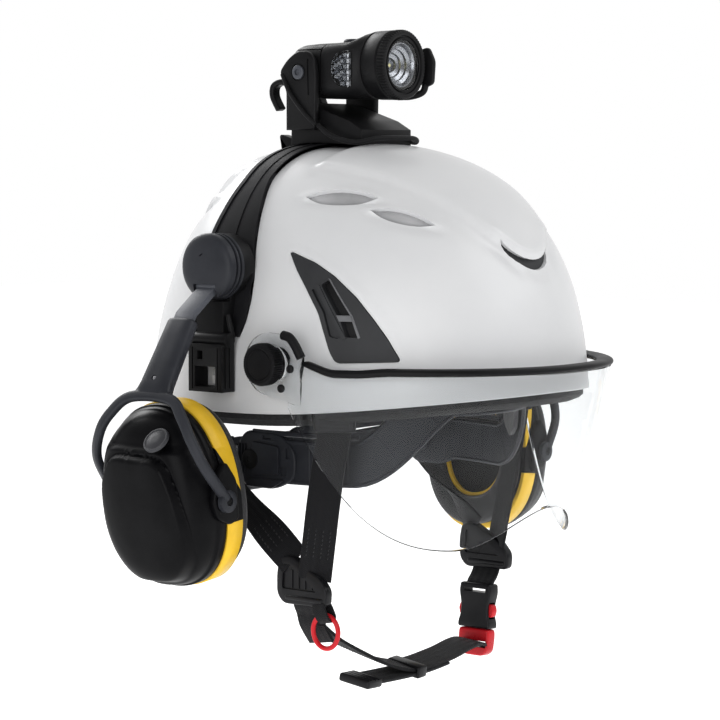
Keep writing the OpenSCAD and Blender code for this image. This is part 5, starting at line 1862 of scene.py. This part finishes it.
def nape_wing(side):
    """Octagonal adjuster wing on the inner face of the cradle, with ribs and slots."""
    mid = nape_point(180 - 38, -0.8)
    before, after = nape_point(180 - 44, -0.8), nape_point(180 - 32, -0.8)
    run = unit(after - before)
    out = unit(np.cross(run, (0, 0, 1)))
    inward = out if np.dot(out, -mid * (1, 1, 0)) > 0 else -out
    up = unit(np.cross(inward, run))
    up = up if up[2] > 0 else -up
    m = placed(mid - inward * 1.0, run, up)
    if np.dot(m[:3, 2], inward) < 0:
        m = placed(mid - inward * 1.0, -run, up)
    outline = rounded_outline([(-22, -8), (-13, -19), (11, -20), (21, -10), (22, 9), (12, 19),
                               (-10, 19), (-21, 9)], 4)
    wing = extrude("wing", outline, 3.6, np.eye(4))
    bevel(wing, 1.2, 3)
    cuts = []
    for x, y, w, h in ((-12, -12, 9, 4), (8, -13, 5, 6), (-15, 11, 10, 3), (4, 12, 9, 3)):
        cuts.append(block("slot", (x - w / 2, y - h / 2, 2.0), (x + w / 2, y + h / 2, 6)))
    from_seam(wing, cuts)
    ribs = []
    for x in (-6, -1.5, 3, 7.5):
        ribs.append(bevel(block("rib", (x - 0.8, -7, 3.2), (x + 0.8, 7, 4.4)), 0.4, 2))
    ribs.append(tube("loop", [(-17, -3, 3.7), (-17, 4, 3.7), (-12, 7.4, 3.7), (10, 7.8, 3.7),
                              (15, 3, 3.7), (15, -4, 3.7), (9, -8.6, 3.7), (-11, -8.4, 3.7)], 0.8,
                     closed=True, sides=8))
    whole = join("wing", [wing] + ribs)
    moved(whole, m)
    return [flip(whole, side)]


def build_dial():
    """Round ratchet dial with deep grip flutes."""
    count = 240
    a = turns(count)
    flute = np.clip(np.cos(a * 15) * 1.4, -1, 1) * 0.5 + 0.5
    levels = [(103.6, 0.01, 0), (103.6, 3, 0), (108.2, 3, 0), (108.3, 7.9, 0), (113.5, 7.9, 0),
              (113.6, 15.4, 0), (114.2, 16.8, 0.6), (115, 17, 1), (121.5, 17, 1), (123, 16.2, 0.8),
              (123.9, 14.6, 0.3), (124.0, 12.4, 0), (122.6, 11.4, 0), (122.3, 9.5, 0), (122.6, 6, 0),
              (122.8, 0.01, 0)]
    rings = []
    for y, r, k in levels:
        rr = r - 1.5 * k * flute
        rings.append(np.stack([rr * np.cos(a), np.full(count, y), DIAL[2] + rr * np.sin(a)], -1))
    dial = loft("dial_wheel", rings, smooth_angle=40)
    piece(dial, "dial", GRAPHITE, "band_graphite", "size_dial")


# ---------------------------------------------------------------- band over the crown
BAND_FRONT = [(-1, 44), (-5, 54), (-7, 66), (-7, 79), (-2, 105), (1.5, 121), (6, 136), (6, 190)]
BAND_REAR = [(30, 190), (28, 134), (31, 118), (34, 103), (34, 68), (30, 46)]


def build_band():
    """Rubber band from the lamp down to the earmuff adapters, with raised borders."""
    def strip(name, outline, height, floor=0.6):
        zone = extrude("zone", outline, 280, side_plane(-140))
        return patch(name, zone, height, floor, 288, 110, False)

    parts = [strip("band", rounded_outline(BAND_FRONT + BAND_REAR, 3), 1.9, 0.3),
             strip("edge", BAND_FRONT + [(y + 3.2, z + 0.4) for y, z in BAND_FRONT[::-1]], 2.6),
             strip("edge", BAND_REAR + [(y - 3.2, z + 0.4) for y, z in BAND_REAR[::-1]], 2.6),
             strip("spine", [(20, 190), (15, 190), (12, 60), (17, 60)], 2.3)]
    piece(join("crown_strip", parts), "helmet", BAND, "band_rubber", "crown_band")


# ---------------------------------------------------------------- floor, light and camera
FLOOR_GLOW, FLOOR_GAP, FLOOR_REACH = 0.42, 0.16, 6
CAMERA_HEADING, CAMERA_FALL, CAMERA_DISTANCE = math.radians(-51.0), math.radians(4.5), 1.6
CAMERA_LENS, SENSOR_WIDTH = 129.6, 36
TARGET_HEIGHT, SHIFT_RIGHT, SHIFT_UP = 0.020, 0.00093, 0.0037


def area_light(name, location, target, size, power):
    data = bpy.data.lights.new(name, "AREA")
    data.shape = "RECTANGLE"
    data.size, data.size_y = size
    data.energy = power
    lamp = linked(name, data)
    lamp.location = location
    lamp.rotation_euler = (Vector(target) - Vector(location)).to_track_quat("-Z", "Y").to_euler()


def build_stage():
    floor = bpy.data.materials.new("floor_pale")
    floor.use_nodes = True
    for name, value in (("Base Color", (0.93, 0.93, 0.93, 1)), ("Roughness", 0.9),
                        ("Emission Color", (1, 1, 1, 1)), ("Emission Strength", FLOOR_GLOW)):
        floor.node_tree.nodes["Principled BSDF"].inputs[name].default_value = value
    data = bpy.data.meshes.new("floor")
    low, reach = cad_bounds[0][2] - FLOOR_GAP, FLOOR_REACH
    corners = [(-reach, -reach, low), (reach, -reach, low), (reach, reach, low), (-reach, reach, low)]
    data.from_pydata(corners, [], [(0, 1, 2, 3)])
    data.materials.append(floor)
    linked("floor", data)

    world = bpy.data.worlds.new("studio")
    bpy.context.scene.world = world
    world.use_nodes = True
    tree = world.node_tree
    back = tree.nodes["Background"]
    back.inputs["Color"].default_value = (1, 1, 1, 1)
    heading = tree.nodes.new("ShaderNodeVectorMath")
    heading.operation = "DOT_PRODUCT"
    heading.inputs[1].default_value = (0.777, 0.629, 0.0)
    level = tree.nodes.new("ShaderNodeMapRange")
    for name, value in (("From Min", -0.4), ("From Max", 0.7), ("To Min", 0.42), ("To Max", 1.0)):
        level.inputs[name].default_value = value
    tree.links.new(tree.nodes.new("ShaderNodeTexCoord").outputs["Generated"], heading.inputs[0])
    tree.links.new(heading.outputs["Value"], level.inputs["Value"])
    tree.links.new(level.outputs["Result"], back.inputs["Strength"])
    area_light("key", (0.7, -1.7, 1.5), (0, 0, 0.03), (1.8, 1.4), 18)
    area_light("side", (-1.6, -0.6, 0.3), (0, 0, 0.02), (1.2, 1.0), 9)
    area_light("rim", (0.3, 1.5, 1.1), (0, 0, 0.05), (1.4, 0.7), 18)

    camera = bpy.data.cameras.new("camera")
    camera.lens = CAMERA_LENS
    camera.sensor_width = SENSOR_WIDTH
    camera.clip_end = 20
    view = linked("camera", camera)
    look = Vector((-math.sin(CAMERA_HEADING) * math.cos(CAMERA_FALL),
                   math.cos(CAMERA_HEADING) * math.cos(CAMERA_FALL), -math.sin(CAMERA_FALL)))
    right = Vector((math.cos(CAMERA_HEADING), math.sin(CAMERA_HEADING), 0))
    up = right.cross(look)
    target = Vector((0, 0, TARGET_HEIGHT)) + right * SHIFT_RIGHT + up * SHIFT_UP
    view.location = target - look * CAMERA_DISTANCE
    view.rotation_euler = look.to_track_quat("-Z", "Y").to_euler()
    bpy.context.scene.camera = view
    bpy.context.scene.view_settings.view_transform = "Standard"
    bpy.context.scene.view_settings.gamma = 0.87


build_shell()
build_inserts()
build_band()
build_inside()
build_visor()
build_muffs()
build_lamp()
build_straps()
build_stage()
